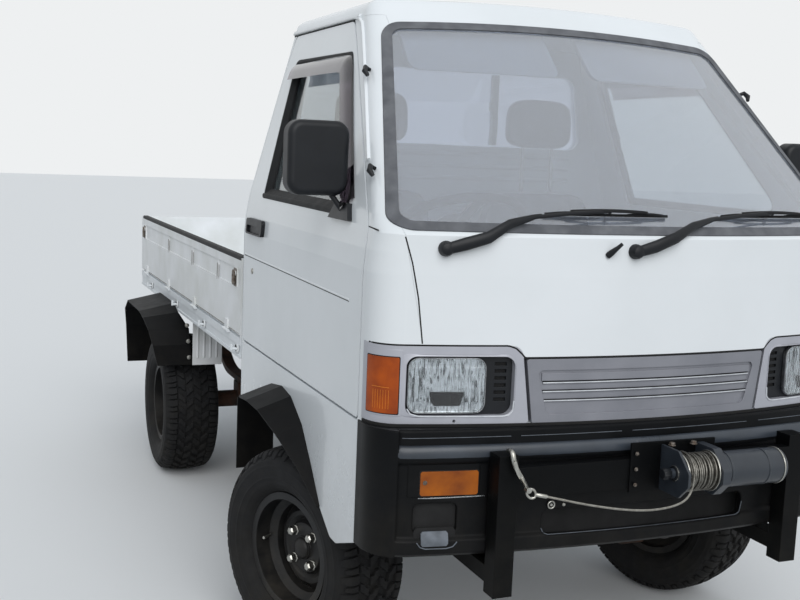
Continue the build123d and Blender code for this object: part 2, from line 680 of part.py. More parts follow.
def build_flares():
    """Black sheet flares over the wheels and white splash panels."""
    front = [(Vector(-CAB_HALF - SEAT, y, z), Vector(-CAB_HALF - width, y, z - FLARE_DROOP * width))
             for y, z, width in FRONT_FLARE]
    NODES["front_flares"] = pair(flare_sheet(front))
    rear = [(Vector(-inner, WHEELBASE + y, z), Vector(-outer, WHEELBASE + y, z - drop))
            for y, z, inner, outer, drop in REAR_FLARE]
    NODES["rear_flares"] = pair(flare_sheet(rear))

    splash_y, under = WHEELBASE - TYRE_R - SPLASH_CLEAR, DECK_Z - DECK_T
    panel = block(-BED_HALF + RAIL_T, -540, splash_y, splash_y + FLARE_T, SPLASH_BOTTOM, under)
    for x in evenly(-640, -562, 4):
        panel = panel + (rod((x, splash_y + 1, SPLASH_BOTTOM + 30), (x, splash_y + 1, under), 5)
                         - block(-900, 900, splash_y + FLARE_T, splash_y + 20, 400, 900))
    NODES["splash_panels"] = pair(panel)


def evenly(first, last, count):
    """Evenly spaced places from first to last."""
    return [first + (last - first) * i / (count - 1) for i in range(count)]


CROSS_Y = evenly(BED_FRONT_Y + 25, BED_REAR_Y - 25, 6)


def barrel(at, axis, start, end, r):
    """Round bar about a hinge line, between two distances along it from a point."""
    along = Vector(1, 0, 0) if axis == "X" else Vector(0, 1, 0)
    return rod(tuple(Vector(*at) + along * start), tuple(Vector(*at) + along * end), r)


def build_bed():
    """Deck with side rails and headboard, two side gates and the tailgate, with their hinges."""
    gate_z0 = DECK_Z + GATE_CLEAR
    under, border = DECK_Z - DECK_T, DECK_Z - DECK_STEP
    inner = BED_HALF - GATE_T - GATE_CLEAR
    gate_y1 = BED_REAR_Y - GATE_T - GATE_CLEAR
    bed = block(-BED_HALF, BED_HALF, BED_FRONT_Y, BED_REAR_Y, under, border)
    bed = bed + block(-inner, inner, BED_FRONT_Y + GATE_T, gate_y1, border, DECK_Z)
    rail = block(-BED_HALF, -BED_HALF + RAIL_T, BED_FRONT_Y, BED_REAR_Y, RAIL_BOTTOM, under)
    rail = rail - block(-BED_HALF, -BED_HALF + 3, BED_FRONT_Y, BED_REAR_Y, RAIL_BOTTOM + 10, under - 4)
    bed = bed + rail + mirrored(rail)
    for y in CROSS_Y:
        bed = bed + block(-BED_HALF + RAIL_T, BED_HALF - RAIL_T, y - 25, y + 25, SILL_TOP, under)
    for y in ROPE_HOOK_Y:
        hook = barrel((-BED_HALF, y, 740), "X", -20, 8, 5)
        hook = hook + rod((-BED_HALF - 20, y, 735), (-BED_HALF - 20, y, 756), 5)
        bed = bed + hook + mirrored(hook)

    pin_x, pin_y, pin_z = BED_HALF + HINGE_OUT, BED_REAR_Y + HINGE_OUT, gate_z0 - HINGE_OUT
    gate = block(-BED_HALF, -BED_HALF + GATE_T, BED_FRONT_Y + GATE_CLEAR, gate_y1, gate_z0, GATE_TOP)
    for y in evenly(BED_FRONT_Y + 180, BED_REAR_Y - 180, 4):
        at = (-pin_x, y, pin_z)
        gate = gate + barrel(at, "Y", -18, 18, HINGE_R)
        gate = gate + block(-pin_x, -BED_HALF, y - 18, y + 18, DECK_Z + 1, gate_z0 + 30)
        gate = gate - barrel(at, "Y", -40, 40, PIN_R + RUNNING)
        half = hinge_half(at, "Y")
        bed = bed + half + mirrored(half)
    first, last = BED_FRONT_Y + GATE_CLEAR, gate_y1
    side_band = rounded_box(first + 30, last - 30, BAND_LOW, BAND_HIGH, 12)
    band = side_prism(side_band, -BED_HALF - 1, -BED_HALF + BAND_DEPTH)
    for y in STAKE_Y:
        band = band - block(-900, 0, y - 6, y + 6, BAND_LOW, BAND_HIGH)
    gate = gate - band
    for y in (first + LATCH_IN, last - LATCH_IN):
        gate = gate + Pos(-BED_HALF, y, (BAND_LOW + BAND_HIGH) / 2) * Rot(0, 0, -90) * latch()
    NODES["side_gate_right"] = gate
    NODES["side_gate_left"] = mirrored(gate)

    tail = block(-BED_HALF, BED_HALF, BED_REAR_Y - GATE_T, BED_REAR_Y, gate_z0, GATE_TOP)
    for x in evenly(-520, 520, 3):
        at = (x, pin_y, pin_z)
        tail = tail + barrel(at, "X", -18, 18, HINGE_R)
        tail = tail + block(x - 18, x + 18, BED_REAR_Y, pin_y, DECK_Z + 1, gate_z0 + 30)
        tail = tail - barrel(at, "X", -40, 40, PIN_R + RUNNING)
        bed = bed + hinge_half(at, "X")
    tail_band = rounded_box(-BED_HALF + 30, BED_HALF - 30, BAND_LOW, BAND_HIGH, 12)
    tail = tail - front_prism(tail_band, BED_REAR_Y - BAND_DEPTH, BED_REAR_Y + 1)
    for x in (-BED_HALF + LATCH_IN, BED_HALF - LATCH_IN):
        tail = tail + Pos(x, BED_REAR_Y, (BAND_LOW + BAND_HIGH) / 2) * Rot(0, 0, 180) * latch()
    NODES["tailgate"] = tail
    NODES["bed_floor"] = bed
    board = block(-BED_HALF, BED_HALF, BED_FRONT_Y, BED_FRONT_Y + 5, border, GATE_TOP)
    NODES["headboard"] = board + block(-inner, inner, BED_FRONT_Y, BED_FRONT_Y + GATE_T, border, GATE_TOP)


def latch():
    """Gate latch on a face that looks towards -Y: a plate and a lever that stands off it."""
    plate = block(-20, 20, -3, BAND_DEPTH + 2, -32, 32)
    lever = rod((-10, -8, -22), (-10, -8, 24), 4) + rod((-10, 0, -18), (-10, -8, -18), 5)
    return plate + lever + rod((10, 0, 14), (10, -7, 14), 8) + rod((-10, -8, 14), (10, -6, 14), 3)


def hinge_half(at, axis):
    """The bed's half of a hinge: a pin through two barrels, on lugs that reach back to the rail."""
    x, y, z = at
    piece = barrel(at, axis, -36, 36, PIN_R)
    for start, end in ((-36, -19), (19, 36)):
        piece = piece + barrel(at, axis, start, end, HINGE_R)
        if axis == "X":
            piece = piece + block(x + start, x + end, BED_REAR_Y - 1, y, z - HINGE_R, z)
        else:
            piece = piece + block(x, -BED_HALF + 1, y + start, y + end, z - HINGE_R, z)
    return piece


def build_interior():
    """What shows through the glass."""
    low = FLOOR_Z + PLATFORM_RISE + SEAT

    def seat(x):
        """One seat about a plane x, with its headrest on two posts."""
        cushion = [(40, low, 20), (500, low, 20), (480, 900, 40), (30, 930, 50)]
        edge = [(x - 235, 880, 30), (x + 235, 880, 30), (x + 180, 1290, 60), (x - 180, 1290, 60)]
        head = [(x - 120, 1440, 50), (x + 120, 1440, 50), (x + 115, 1600, 55), (x - 115, 1600, 55)]
        piece = side_prism(cushion, x - 235, x + 235)
        piece = piece + front_prism(edge, 345, 440) + front_prism(head, 360, 440)
        for post in (x - 55, x + 55):
            piece = piece + rod((post, 400, 1280), (post, 400, 1450), 6)
        return piece

    NODES["seats"] = group(seat(-330), seat(270))
    dash_edge = [(-690, 980, 0), (-690, 1195, 0), (-560, 1215, 25), (-420, 1195, 30),
                 (-390, 1060, 20), (-500, 980, 20)]
    half = CAB_HALF - CAB_WALL - DOOR_SWING - 4
    NODES["dashboard"] = side_prism(dash_edge, -half, half) & cab_form(CAB_WALL + SEAT)

    visor = skin(CAB_WALL + SEAT, CAB_WALL + 16) & front_prism(
        [(-470, 1624, 25), (-50, 1624, 25), (-50, 1764, 4), (-460, 1764, 4)], -900, 0)
    NODES["sun_visors"] = pair(visor)

    hub = Vector(*STEERING_HUB)
    normal = Vector(0, STEERING_LEAN, 1).normalized()
    tilt = Plane(hub, x_dir=(1, 0, 0), z_dir=normal)
    foot = hub - normal * ((hub.Z - FLOOR_Z) / normal.Z - 8)
    column = rod(tuple(foot), tuple(hub), 26) - block(-900, 900, -900, 900, 400, FLOOR_Z + SEAT)
    wheel = tilt * Rot(0, 0, 45) * Torus(STEERING_R, 13)
    wheel = wheel + (tilt * Cylinder(45, 40)) + column
    for a in (0, 180, 270):
        spoke = tilt * Rot(0, 0, a) * Pos(STEERING_R / 2 + 10, 0, 0) * Box(STEERING_R - 20, 30, 9)
        wheel = wheel + spoke
    NODES["steering_wheel"] = wheel


def build_fittings():
    """Mirrors, door handles, wipers and tail lamps."""
    foot = sharp([(-418, 1243), (-266, 1243), (-300, 1284), (-390, 1284)])
    base = side_wall(-12, -SEAT) & side_prism(foot, -900, -300)
    arm = rod((-682, -345, 1266), (-728, -335, 1330), 7) + rod((-728, -335, 1325), (-728, -335, 1345), 9)
    head = front_prism([(-825, 1300, 35), (-672, 1300, 35), (-668, 1482, 35), (-825, 1482, 35)], -362, -312)
    head = fillet(head.faces().sort_by(Axis.Y)[0].edges(), 16)
    recess = [(-817, 1308, 30), (-680, 1308, 30), (-677, 1474, 30), (-817, 1474, 30)]
    head = head - front_prism(recess, -316, -300)
    handle = side_wall(-12, -SEAT) & side_prism(rounded_box(328, 512, 1138, 1187, 12), -900, -300)
    handle = handle - (side_wall(-20, -4) & side_prism(rounded_box(342, 498, 1143, 1166, 8), -900, -300))
    fittings = group(base + arm + head, handle)
    NODES["door_fittings_right"] = fittings
    NODES["door_fittings_left"] = mirrored(fittings)

    over_front, over_seal = cab_form(-SEAT), cab_form(-SEAL_PROUD - SEAT)
    pieces = []
    for pivot_x, x0, x1, blade_z in WIPERS:
        mid = (x0 + x1) / 2
        blade = skin(-12, 2 - SEAT) & block(x0, x1, -900, -400, blade_z - 5, blade_z + 5)
        surface = front_y(pivot_x, 1202)
        boss = rod((pivot_x, surface + 4, 1202), (pivot_x, surface - 16, 1202), 12)
        elbow_x = pivot_x + 0.2 * (mid - pivot_x)
        elbow = (elbow_x, front_y(elbow_x, 1236) - 20, 1232)
        arm = rod((pivot_x, surface - 12, 1202), elbow, 4) + Pos(*elbow) * Sphere(4)
        arm = arm + rod(elbow, (mid, front_y(mid, blade_z) - 14, blade_z), 4)
        pieces.append(blade + (boss - over_front) + (arm - over_seal))
    NODES["wipers"] = group(*pieces)
    lamp = block(RAIL_X + RAIL_W + 6, 572, BED_REAR_Y - 46, BED_REAR_Y, 610, SILL_TOP)
    NODES["tail_lamps"] = pair(lamp)


def front_y(x, z):
    """y of the cab's front surface at a place across it and a height."""
    for low, high in zip(BELT, BELT[1:]):
        if z <= high[0]:
            middle = low[2] + (high[2] - low[2]) * (z - low[0]) / (high[0] - low[0])
            return middle + FRONT_R - sqrt(FRONT_R ** 2 - x ** 2)
    return BELT[-1][2]


def build_chassis():
    """Ladder frame, engine, tank, exhaust, axles and suspension."""
    low = RAIL_TOP - RAIL_H
    rail = block(-RAIL_X - RAIL_W, -RAIL_X, FRAME_FRONT, BED_REAR_Y - 4, low, RAIL_TOP)
    web = -RAIL_X - 5
    rail = rail - block(-RAIL_X - RAIL_W - 1, web, FRAME_FRONT - 1, BED_REAR_Y, low + 6, RAIL_TOP - 6)
    for y in CROSS_Y:
        rail = rail + block(-RAIL_X - RAIL_W, -RAIL_X, y - 20, y + 20, RAIL_TOP, SILL_TOP)
    for y in SPRING_ENDS:
        rail = rail + block(-SPRING_X - 28, -SPRING_X + 28, y - 18, y + 18, SPRING_END_Z, low)
    rail = rail + block(-TOWER_X, -TOWER_X + 50, -30, 30, 282, low + 30)
    for y in (-520, -60):
        rail = rail + block(-RAIL_X - RAIL_W, -RAIL_X, y - 30, y + 30, RAIL_TOP, FLOOR_Z - FLOOR_T)
    wall_y = CAB_REAR_Y - CAB_WALL
    rail = rail + block(-RAIL_X - RAIL_W, -RAIL_X, wall_y + 5, CAB_REAR_Y - 5, RAIL_TOP, REAR_WALL_BOTTOM)
    frame = rail + mirrored(rail)
    for y in (-600, -330, 0, 600, 1180, 1500, 2120, 2500):
        frame = frame + block(-RAIL_X, RAIL_X, y - 25, y + 25, low + 20, RAIL_TOP - 10)
    NODES["frame"] = frame

    mount = block(-RAIL_X, -200, 250, 300, 560, 600)
    NODES["engine"] = block(-200, 200, 100, ENGINE_REAR, 340, 620) + mount + mirrored(mount)
    NODES["fuel_tank"] = block(RAIL_X + RAIL_W, 600, 700, 1120, 430, RAIL_TOP)
    behind = ENGINE_REAR + SEAT
    pipe = rod((-150, behind, 430), (-250, 720, 450), PIPE_R)
    pipe = pipe + rod((-250, 715, 450), (-250, 1010, 450), PIPE_R)
    pipe = pipe + rod((-250, 1000, 450), (-250, 1350, 450), 70)
    pipe = pipe + rod((-250, 1350, 450), (-250, 2480, 470), PIPE_R)
    for y in (1160, 2300):
        pipe = pipe + block(-RAIL_X, -248, y - 8, y + 8, 505 if y < 1350 else 470, low + 10)
    NODES["exhaust"] = pipe - block(-400, 0, 400, behind, 300, 600)

    axle = rod((-WHEEL_X + 60, WHEELBASE, TYRE_R), (WHEEL_X - 60, WHEELBASE, TYRE_R), 36)
    axle = axle + (Pos(0, WHEELBASE, TYRE_R) * Sphere(105))
    reach = WHEEL_X + SPINDLE_OUT
    axle = axle + rod((-reach, WHEELBASE, TYRE_R), (reach, WHEELBASE, TYRE_R), SPINDLE_R)
    shaft = rod((0, behind, 420), (0, WHEELBASE - 60, TYRE_R + 10), 28)
    axle = axle + shaft - block(-100, 100, 400, behind, 300, 500)
    for x in (-SPRING_X, SPRING_X):
        axle = axle + block(x - 30, x + 30, WHEELBASE - 45, WHEELBASE + 45, TYRE_R, SPRING_PAD_Z)
    NODES["rear_axle"] = axle
    first, last = SPRING_ENDS
    t = SPRING_T
    leaf = [(first, SPRING_END_Z - t, 0), (first + 290, SPRING_PAD_Z, 300), (last - 290, SPRING_PAD_Z, 300),
            (last, SPRING_END_Z - t, 0), (last, SPRING_END_Z, 0), (last - 300, SPRING_PAD_Z + t, 300),
            (first + 300, SPRING_PAD_Z + t, 300), (first, SPRING_END_Z, 0)]
    NODES["rear_springs"] = pair(side_prism(leaf, -SPRING_X - 25, -SPRING_X + 25))
    ball = ARM_BALL_Z
    arm = rod((-KINGPIN_X + 60, 0, ball), (-205, 0, 306), 16)
    arm = arm + rod((-KINGPIN_X - 16, 0, ball), (-KINGPIN_X + 60, 0, ball), 16)
    arm = arm + Pos(-KINGPIN_X + 60, 0, ball) * Sphere(16)
    arm = arm + rod((-KINGPIN_X, 0, ball), (-KINGPIN_X, 0, TYRE_R - 80 - SEAT), 9)
    arm = arm - block(-TOWER_X - SEAT, 0, -60, 60, 250, 600)
    NODES["front_arms"] = pair(arm)


def tyre_and_rim(side):
    """Tyre and rim of one wheel about X at the origin, outer face towards side."""
    about = Plane((0, 0, 0), x_dir=(0, 0, 1), z_dir=(side, 0, 0))
    half, seat, w, t = TYRE_W / 2, RIM_SEAT_R + SEAT, RIM_W / 2, RIM_WALL
    bead = w - t - 2 - SEAT
    wall = [(seat, bead, 0), (RIM_R + 1, bead + 1, 0), (RIM_R + 12, bead + 14, 0), (230, half, 40),
            (TYRE_R - 34, half - 1, 0), (TYRE_R - TYRE_CROWN, half - 22, 0)]
    profile = wall + [(TYRE_R, 16, 0), (TYRE_R, -16, 0)] + [(r, -h, c) for r, h, c in wall[::-1]]
    profile = profile + [(RIM_R + 40, -half + 42, 0), (RIM_R + 40, half - 42, 0)]
    tyre = revolved(profile, about)
    grooves = []
    for i in range(TREAD_PITCHES):
        for half_side in (-1, 1):
            bar = Rot(0, half_side * 8, half_side * 25) * Box(120, TREAD_GROOVE, 40)
            out = Pos(half_side * 68, 0, TYRE_R - TREAD_DEPTH + 12) * bar
            grooves.append(Rot((i + half_side / 4) * 360 / TREAD_PITCHES, 0, 0) * out)
    tyre = tyre - grooves

    lip = [(RIM_R, w), (RIM_R, w - t), (RIM_SEAT_R, w - t - 2), (RIM_SEAT_R, w - 45), (WELL_R, w - 60)]
    lip = lip + [(WELL_R, -w + 45), (RIM_SEAT_R, -w + 30), (RIM_SEAT_R, -w + t + 2)]
    lip = lip + [(RIM_R, -w + t), (RIM_R, -w)]
    back = [(RIM_SEAT_R - t, -w), (RIM_SEAT_R - t, -w + 28), (WELL_R - t, -w + 43), (WELL_R - t, w - 62),
            (RIM_SEAT_R - t, w - 47), (RIM_SEAT_R - t, w)]
    bore = SPINDLE_R + RUNNING
    dish = [(bore, -10), (bore, 26), (0, 26), (0, 33), (30, 33), (34, 26), (70, 26), (79, 12),
            (90, 20), (103, 20), (WELL_R - 4, 0), (WELL_R - 4, -8), (101, 10), (91, 10), (79, 1), (70, -10)]
    drum = [(38, -60), (38, -10), (60, -10), (60, -60)]
    rim = revolved(sharp(lip + back), about) + revolved(sharp(dish), about) + revolved(sharp(drum), about)
    quarters = range(0, 360, 90)
    rim = rim - [Rot(turn, 0, 0) * Pos(0, 0, SLOT_CIRCLE) * Box(80, 36, 18) for turn in quarters]
    nut = Pos(side * 25, 0, NUT_CIRCLE) * Rot(0, side * 90, 0) * extrude(RegularPolygon(11, 6), 18)
    rim = rim + [Rot(turn + 45, 0, 0) * nut for turn in quarters]
    return tyre, rim


def build_wheels():
    """Knuckles and wheels; the front pair is turned by the resting steer angle."""
    for name, side in (("right", -1), ("left", 1)):
        tyre, rim = tyre_and_rim(side)
        rear = Pos(side * WHEEL_X, WHEELBASE, TYRE_R)
        NODES["tyre_rear_" + name], NODES["rim_rear_" + name] = rear * tyre, rear * rim
        turn = Pos(side * KINGPIN_X, 0, TYRE_R) * Rot(0, 0, STEER_REST)
        out = Pos(side * (WHEEL_X - KINGPIN_X), 0, 0)
        NODES["tyre_front_" + name], NODES["rim_front_" + name] = turn * out * tyre, turn * out * rim
        hub = rod((0, 0, 0), (side * (WHEEL_X - KINGPIN_X + SPINDLE_OUT), 0, 0), SPINDLE_R)
        leg = rod((0, 0, -80), (0, 0, 300), 20) + rod((0, 0, 320), (0, 0, 440), 46)
        leg = leg + rod((0, 0, 300), (0, 0, STRUT_BOX_TOP - SEAT - TYRE_R), 12)
        NODES["knuckle_" + name] = turn * (hub + leg + Box(44, 60, 120))


build_cab()
build_floor()
build_front()
build_winch()
build_flares()
build_bed()
build_interior()
build_fittings()
build_chassis()
build_wheels()

FRONT_REACH = min(shape.bounding_box().min.Y for shape in NODES.values())
REAR_REACH = max(shape.bounding_box().max.Y for shape in NODES.values())
CENTRE_Y = (FRONT_REACH + REAR_REACH) / 2
print("centre y", round(CENTRE_Y, 3), "reach", round(FRONT_REACH, 1), round(REAR_REACH, 1))

os.makedirs("parts", exist_ok=True)
for node, shape in NODES.items():
    export_step(Pos(0, -CENTRE_Y, 0) * shape, "parts/" + node + ".step")
print(len(NODES), "nodes")
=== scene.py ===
"""Looks of a lifted kei truck: a white cab-over with a drop-side bed, a winch and off-road tyres.

Shapes are drawn in millimetres in the truck's drawing frame: Y is 0 at the front axle and grows
to the rear, X grows to the truck's left side, and Z is 0 on the ground. Workshop turns them into
the scene's metres. Every surface is worked out as whole arrays: a function of two parameters on a
grid, or a profile carried along a path.
"""

from __future__ import annotations

import json
import logging
from collections.abc import Callable, Sequence
from dataclasses import dataclass, field
from enum import Enum
from math import acos, cos, pi, radians, sin, sqrt, tan

import bpy
import numpy as np
from mathutils import Matrix, Vector

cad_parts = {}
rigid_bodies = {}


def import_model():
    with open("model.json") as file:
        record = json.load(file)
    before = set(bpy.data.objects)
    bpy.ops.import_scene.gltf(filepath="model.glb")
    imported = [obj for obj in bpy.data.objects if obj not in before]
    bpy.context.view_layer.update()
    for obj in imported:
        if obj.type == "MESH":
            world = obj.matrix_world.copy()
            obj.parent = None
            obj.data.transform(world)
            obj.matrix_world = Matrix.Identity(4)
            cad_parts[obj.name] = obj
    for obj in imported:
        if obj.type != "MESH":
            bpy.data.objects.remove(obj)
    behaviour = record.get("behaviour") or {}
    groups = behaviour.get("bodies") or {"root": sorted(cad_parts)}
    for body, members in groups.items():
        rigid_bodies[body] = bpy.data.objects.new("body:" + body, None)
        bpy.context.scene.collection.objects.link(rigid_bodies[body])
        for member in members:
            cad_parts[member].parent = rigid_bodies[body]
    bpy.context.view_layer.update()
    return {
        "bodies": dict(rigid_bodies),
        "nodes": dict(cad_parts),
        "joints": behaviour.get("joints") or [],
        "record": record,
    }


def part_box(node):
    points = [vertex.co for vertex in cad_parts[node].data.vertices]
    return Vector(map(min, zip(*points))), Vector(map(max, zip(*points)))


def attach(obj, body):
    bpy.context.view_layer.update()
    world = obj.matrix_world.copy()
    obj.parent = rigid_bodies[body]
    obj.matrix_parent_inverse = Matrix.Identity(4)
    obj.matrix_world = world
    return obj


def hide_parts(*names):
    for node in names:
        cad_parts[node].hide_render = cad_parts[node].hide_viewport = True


LOG = logging.getLogger("kei_truck")
WHEELBASE = 1810.0
CHASSIS = "chassis"

Array = np.ndarray
Corner = tuple[float, float, float]
Place = tuple[float, float, float]
Box = tuple[float, float, float, float]
Mapping = Callable[[Array, Array, Array], Array]
Height = Callable[[Array, Array], Array]
Tree = bpy.types.NodeTree
Socket = bpy.types.NodeSocket


class Side(Enum):
    """Side of the truck, as its sign along X."""

    RIGHT = -1
    LEFT = 1


# Shapes


@dataclass
class Shell:
    """Points and faces of a surface, in millimetres.

    Args:
        points: array of (n, 3).
        faces: arrays of (m, k) indices, one for each number of corners k.
    """

    points: Array
    faces: list[Array]

    def __add__(self, other: Shell) -> Shell:
        """Both surfaces as one."""
        shifted = [group + len(self.points) for group in other.faces]
        return Shell(np.vstack([self.points, other.points]), [*self.faces, *shifted])

    def mirrored(self) -> Shell:
        """The same surface on the other side of the truck."""
        return Shell(self.points * (-1, 1, 1), [group[:, ::-1] for group in self.faces])

    def moved(self, offset: Sequence[float]) -> Shell:
        """The surface shifted by an offset."""
        return Shell(self.points + np.asarray(offset, float), self.faces)

    def turned(self, rotation: Array) -> Shell:
        """The surface turned by a 3 by 3 rotation about the origin."""
        return Shell(self.points @ np.asarray(rotation).T, self.faces)

    def volume(self) -> float:
        """Signed volume: the sum of the tetrahedra between the origin and fans of each face."""
        total = 0.0
        for group in self.faces:
            corners = self.points[group]
            first = np.broadcast_to(corners[:, :1], corners[:, 1:-1].shape)
            total += float(np.sum(first * np.cross(corners[:, 1:-1], corners[:, 2:]))) / 6
        return total

    def outward(self) -> Shell:
        """The closed surface with its faces pointing outwards."""
        if self.volume() < 0:
            return Shell(self.points, [group[:, ::-1] for group in self.faces])
        return self


def merged(shells: Sequence[Shell]) -> Shell:
    """Several surfaces as one."""
    total = shells[0]
    for shell in shells[1:]:
        total = total + shell
    return total


def both_sides(shell: Shell) -> Shell:
    """A surface together with its mirror image."""
    return shell + shell.mirrored()


def unit(vectors: Array) -> Array:
    """Vectors scaled to length one."""
    vectors = np.asarray(vectors, float)
    return vectors / np.maximum(np.linalg.norm(vectors, axis=-1, keepdims=True), 1e-12)


def run_of(line: Array) -> Array:
    """Distance along a line at each of its points: the running sum of the lengths of its steps."""
    return np.concatenate([[0], np.cumsum(np.linalg.norm(np.diff(line, axis=0), axis=1))])


def evenly(line: Array, count: int) -> Array:
    """Line drawn again with a number of evenly spaced points."""
    run = run_of(line)
    at = np.linspace(0, run[-1], count)
    return np.column_stack([np.interp(at, run, values) for values in line.T])


def smoothed(line: Array, window: int) -> Array:
    """Moving average along a line, which shortens it by the window less one point."""
    kernel = np.ones(window) / window
    return np.column_stack([np.convolve(values, kernel, "valid") for values in line.T])


def square_to(line: Array) -> Array:
    """Directions in the plane at right angles to a flat line: its tangent, turned a quarter."""
    tangent = unit(np.gradient(line, axis=0))
    return np.stack([-tangent[:, 1], tangent[:, 0]], -1)


def quads_of(index: Array) -> Array:
    """Corners of the quads between the rows and columns of a grid of point indices."""
    return np.stack([index[:-1, :-1], index[1:, :-1], index[1:, 1:], index[:-1, 1:]], -1).reshape(-1, 4)


def grid_shell(grid: Array, wrap_rows: bool = False, wrap_columns: bool = False,
               cap: bool = False) -> Shell:
    """Quads between the rows and columns of a grid of points.

    Args:
        grid: array of (rows, columns, 3).
        wrap_rows: joins the last row to the first.
        wrap_columns: joins the last column to the first.
        cap: closes the first and the last row with one face each.

    Returns:
        The surface, with point index = row * columns + column.
    """
    rows, columns = grid.shape[:2]
    index = np.arange(rows * columns).reshape(rows, columns)
    if wrap_rows:
        index = np.vstack([index, index[:1]])
    if wrap_columns:
        index = np.hstack([index, index[:, :1]])
    faces = [quads_of(index)]
    if cap:
        ends = np.arange(rows * columns).reshape(rows, columns)
        faces.append(np.vstack([ends[0], ends[-1][::-1]]))
    return Shell(grid.reshape(-1, 3), faces)


def eased(share: Array) -> Array:
    """Smooth step from 0 to 1: 3 times the square less 2 times the cube."""
    share = np.clip(share, 0, 1)
    return share ** 2 * (3 - 2 * share)


def rounded(corners: Sequence[Corner], steps: int = 5) -> Array:
    """Outline of a polygon with each corner replaced by a circular arc.

    An arc touches both edges at radius / tan(half the corner's angle) from the corner, and its
    points are evenly spaced in angle about its centre.

    Args:
        corners: (u, v, radius) in order.
        steps: runs in each arc, the same for all, so that like outlines match point by point.

    Returns:
        Array of (corners * (steps + 1), 2).
    """
    points = np.array([(u, v) for u, v, _ in corners], float)
    arcs = []
    for i, (_, _, radius) in enumerate(corners):
        here = points[i]
        back, ahead = unit(points[i - 1] - here), unit(points[(i + 1) % len(points)] - here)
        half = acos(float(np.clip(back @ ahead, -1, 1))) / 2
        r = max(radius, 0.01)
        centre = here + unit(back + ahead) * r / sin(half)
        start, end = here + back * r / tan(half) - centre, here + ahead * r / tan(half) - centre
        sweep_angle = pi - 2 * half
        share = np.linspace(0, 1, steps + 1)[:, None]
        arcs.append(centre + (np.sin((1 - share) * sweep_angle) * start + np.sin(share * sweep_angle) * end)
                    / sin(sweep_angle))
    return np.vstack(arcs)


def inset(corners: Sequence[Corner], by: float) -> list[Corner]:
    """Polygon with its edges moved inwards: each corner goes to where its two moved edges cross.

    Args:
        corners: (u, v, radius) in order, either way round.
        by: distance inwards; below zero it moves them outwards.

    Returns:
        The moved corners, with radii that keep the arcs concentric.
    """
    points = np.array([(u, v) for u, v, _ in corners], float)
    area = np.sum(points[:, 0] * np.roll(points[:, 1], -1) - points[:, 1] * np.roll(points[:, 0], -1))
    turn = 1.0 if area > 0 else -1.0
    along = unit(np.roll(points, -1, 0) - points)
    inward = np.stack([-along[:, 1], along[:, 0]], -1) * turn
    bend = np.sum(np.roll(inward, 1, 0) * inward, -1, keepdims=True)
    moved = points + (inward + np.roll(inward, 1, 0)) * by / (1 + bend)
    return [(u, v, max(r - by, 0.0)) for (u, v), (_, _, r) in zip(moved.tolist(), corners)]


def ring_shell(corners: Sequence[Corner], rings: Sequence[tuple[float, float]], place: Mapping,
               closed: bool = False, steps: int = 5) -> Shell:
    """Surface between copies of one outline, each inset by its own amount at its own height.

    Args:
        corners: outline in u, v.
        rings: (inset, height) of each copy.
        place: gives the points at u, v and height.
        closed: joins the last ring to the first, as on a frame; otherwise both ends are capped.
        steps: runs in each corner arc.

    Returns:
        The closed surface.
    """
    rows = []
    for by, height in rings:
        flat = rounded(inset(corners, by), steps)
        rows.append(place(flat[:, 0], flat[:, 1], np.full(len(flat), height)))
    return grid_shell(np.array(rows), wrap_rows=closed, wrap_columns=True, cap=not closed).outward()


def sweep(path: Array, profile: Array, outward: Array, closed: bool = False) -> Shell:
    """Closed profile carried along a path: point = path + side * u + outward * v, where side is
    the path's direction crossed with the outward direction.

    Args:
        path: array of (n, 3).
        profile: array of (k, 2), or (n, k, 2) where it changes along the path.
        outward: one direction, or one for each point of the path.
        closed: joins the path's end to its start.

    Returns:
        The closed surface.
    """
    path = np.asarray(path, float)
    ahead, back = np.roll(path, -1, 0), np.roll(path, 1, 0)
    if not closed:
        ahead[-1], back[0] = path[-1], path[0]
    tangent = unit(ahead - back)
    out = np.broadcast_to(np.asarray(outward, float), path.shape)
    out = unit(out - tangent * np.sum(out * tangent, -1, keepdims=True))
    across = np.cross(tangent, out)
    profile = np.broadcast_to(np.asarray(profile, float), (len(path), *np.shape(profile)[-2:]))
    grid = path[:, None] + profile[..., :1] * across[:, None] + profile[..., 1:] * out[:, None]
    return grid_shell(grid, wrap_rows=closed, wrap_columns=True, cap=not closed).outward()


def circle(radius: float | Array, sides: int = 10) -> Array:
    """Circular profile, or one for each radius."""
    angle = np.linspace(0, 2 * pi, sides, endpoint=False)
    return np.asarray(radius, float)[..., None, None] * np.stack([np.cos(angle), np.sin(angle)], -1)


def tube(path: Array, radius: float | Array, sides: int = 10, closed: bool = False,
         guide: Sequence[float] | None = None) -> Shell:
    """Round bar along a path.

    Args:
        path: array of (n, 3).
        radius: one value, or one for each point.
        sides: corners of its section.
        closed: joins its ends.
        guide: a direction that the path never follows; by default the one it spans least.

    Returns:
        The closed surface.
    """
    path = np.asarray(path, float)
    if guide is None:
        guide = np.eye(3)[int(np.argmin(np.ptp(path, axis=0)))]
    return sweep(path, circle(radius, sides), guide, closed)


def rod(start: Sequence[float], end: Sequence[float], radius: float, sides: int = 16) -> Shell:
    """Round bar between two points."""
    return tube(np.array([start, end]), radius, sides)


def upright_ring(centre: Array, across: Sequence[float], radius: float, thick: float, steps: int,
                 sides: int) -> Shell:
    """Round bar bent to a ring: point = centre + radius * (cosine * across + sine * up)."""
    angle = np.linspace(0, 2 * pi, steps, endpoint=False)[:, None]
    path = centre + radius * (np.cos(angle) * across + np.sin(angle) * (0, 0, 1))
    return tube(path, thick, sides, closed=True, guide=(0, 1, 0))


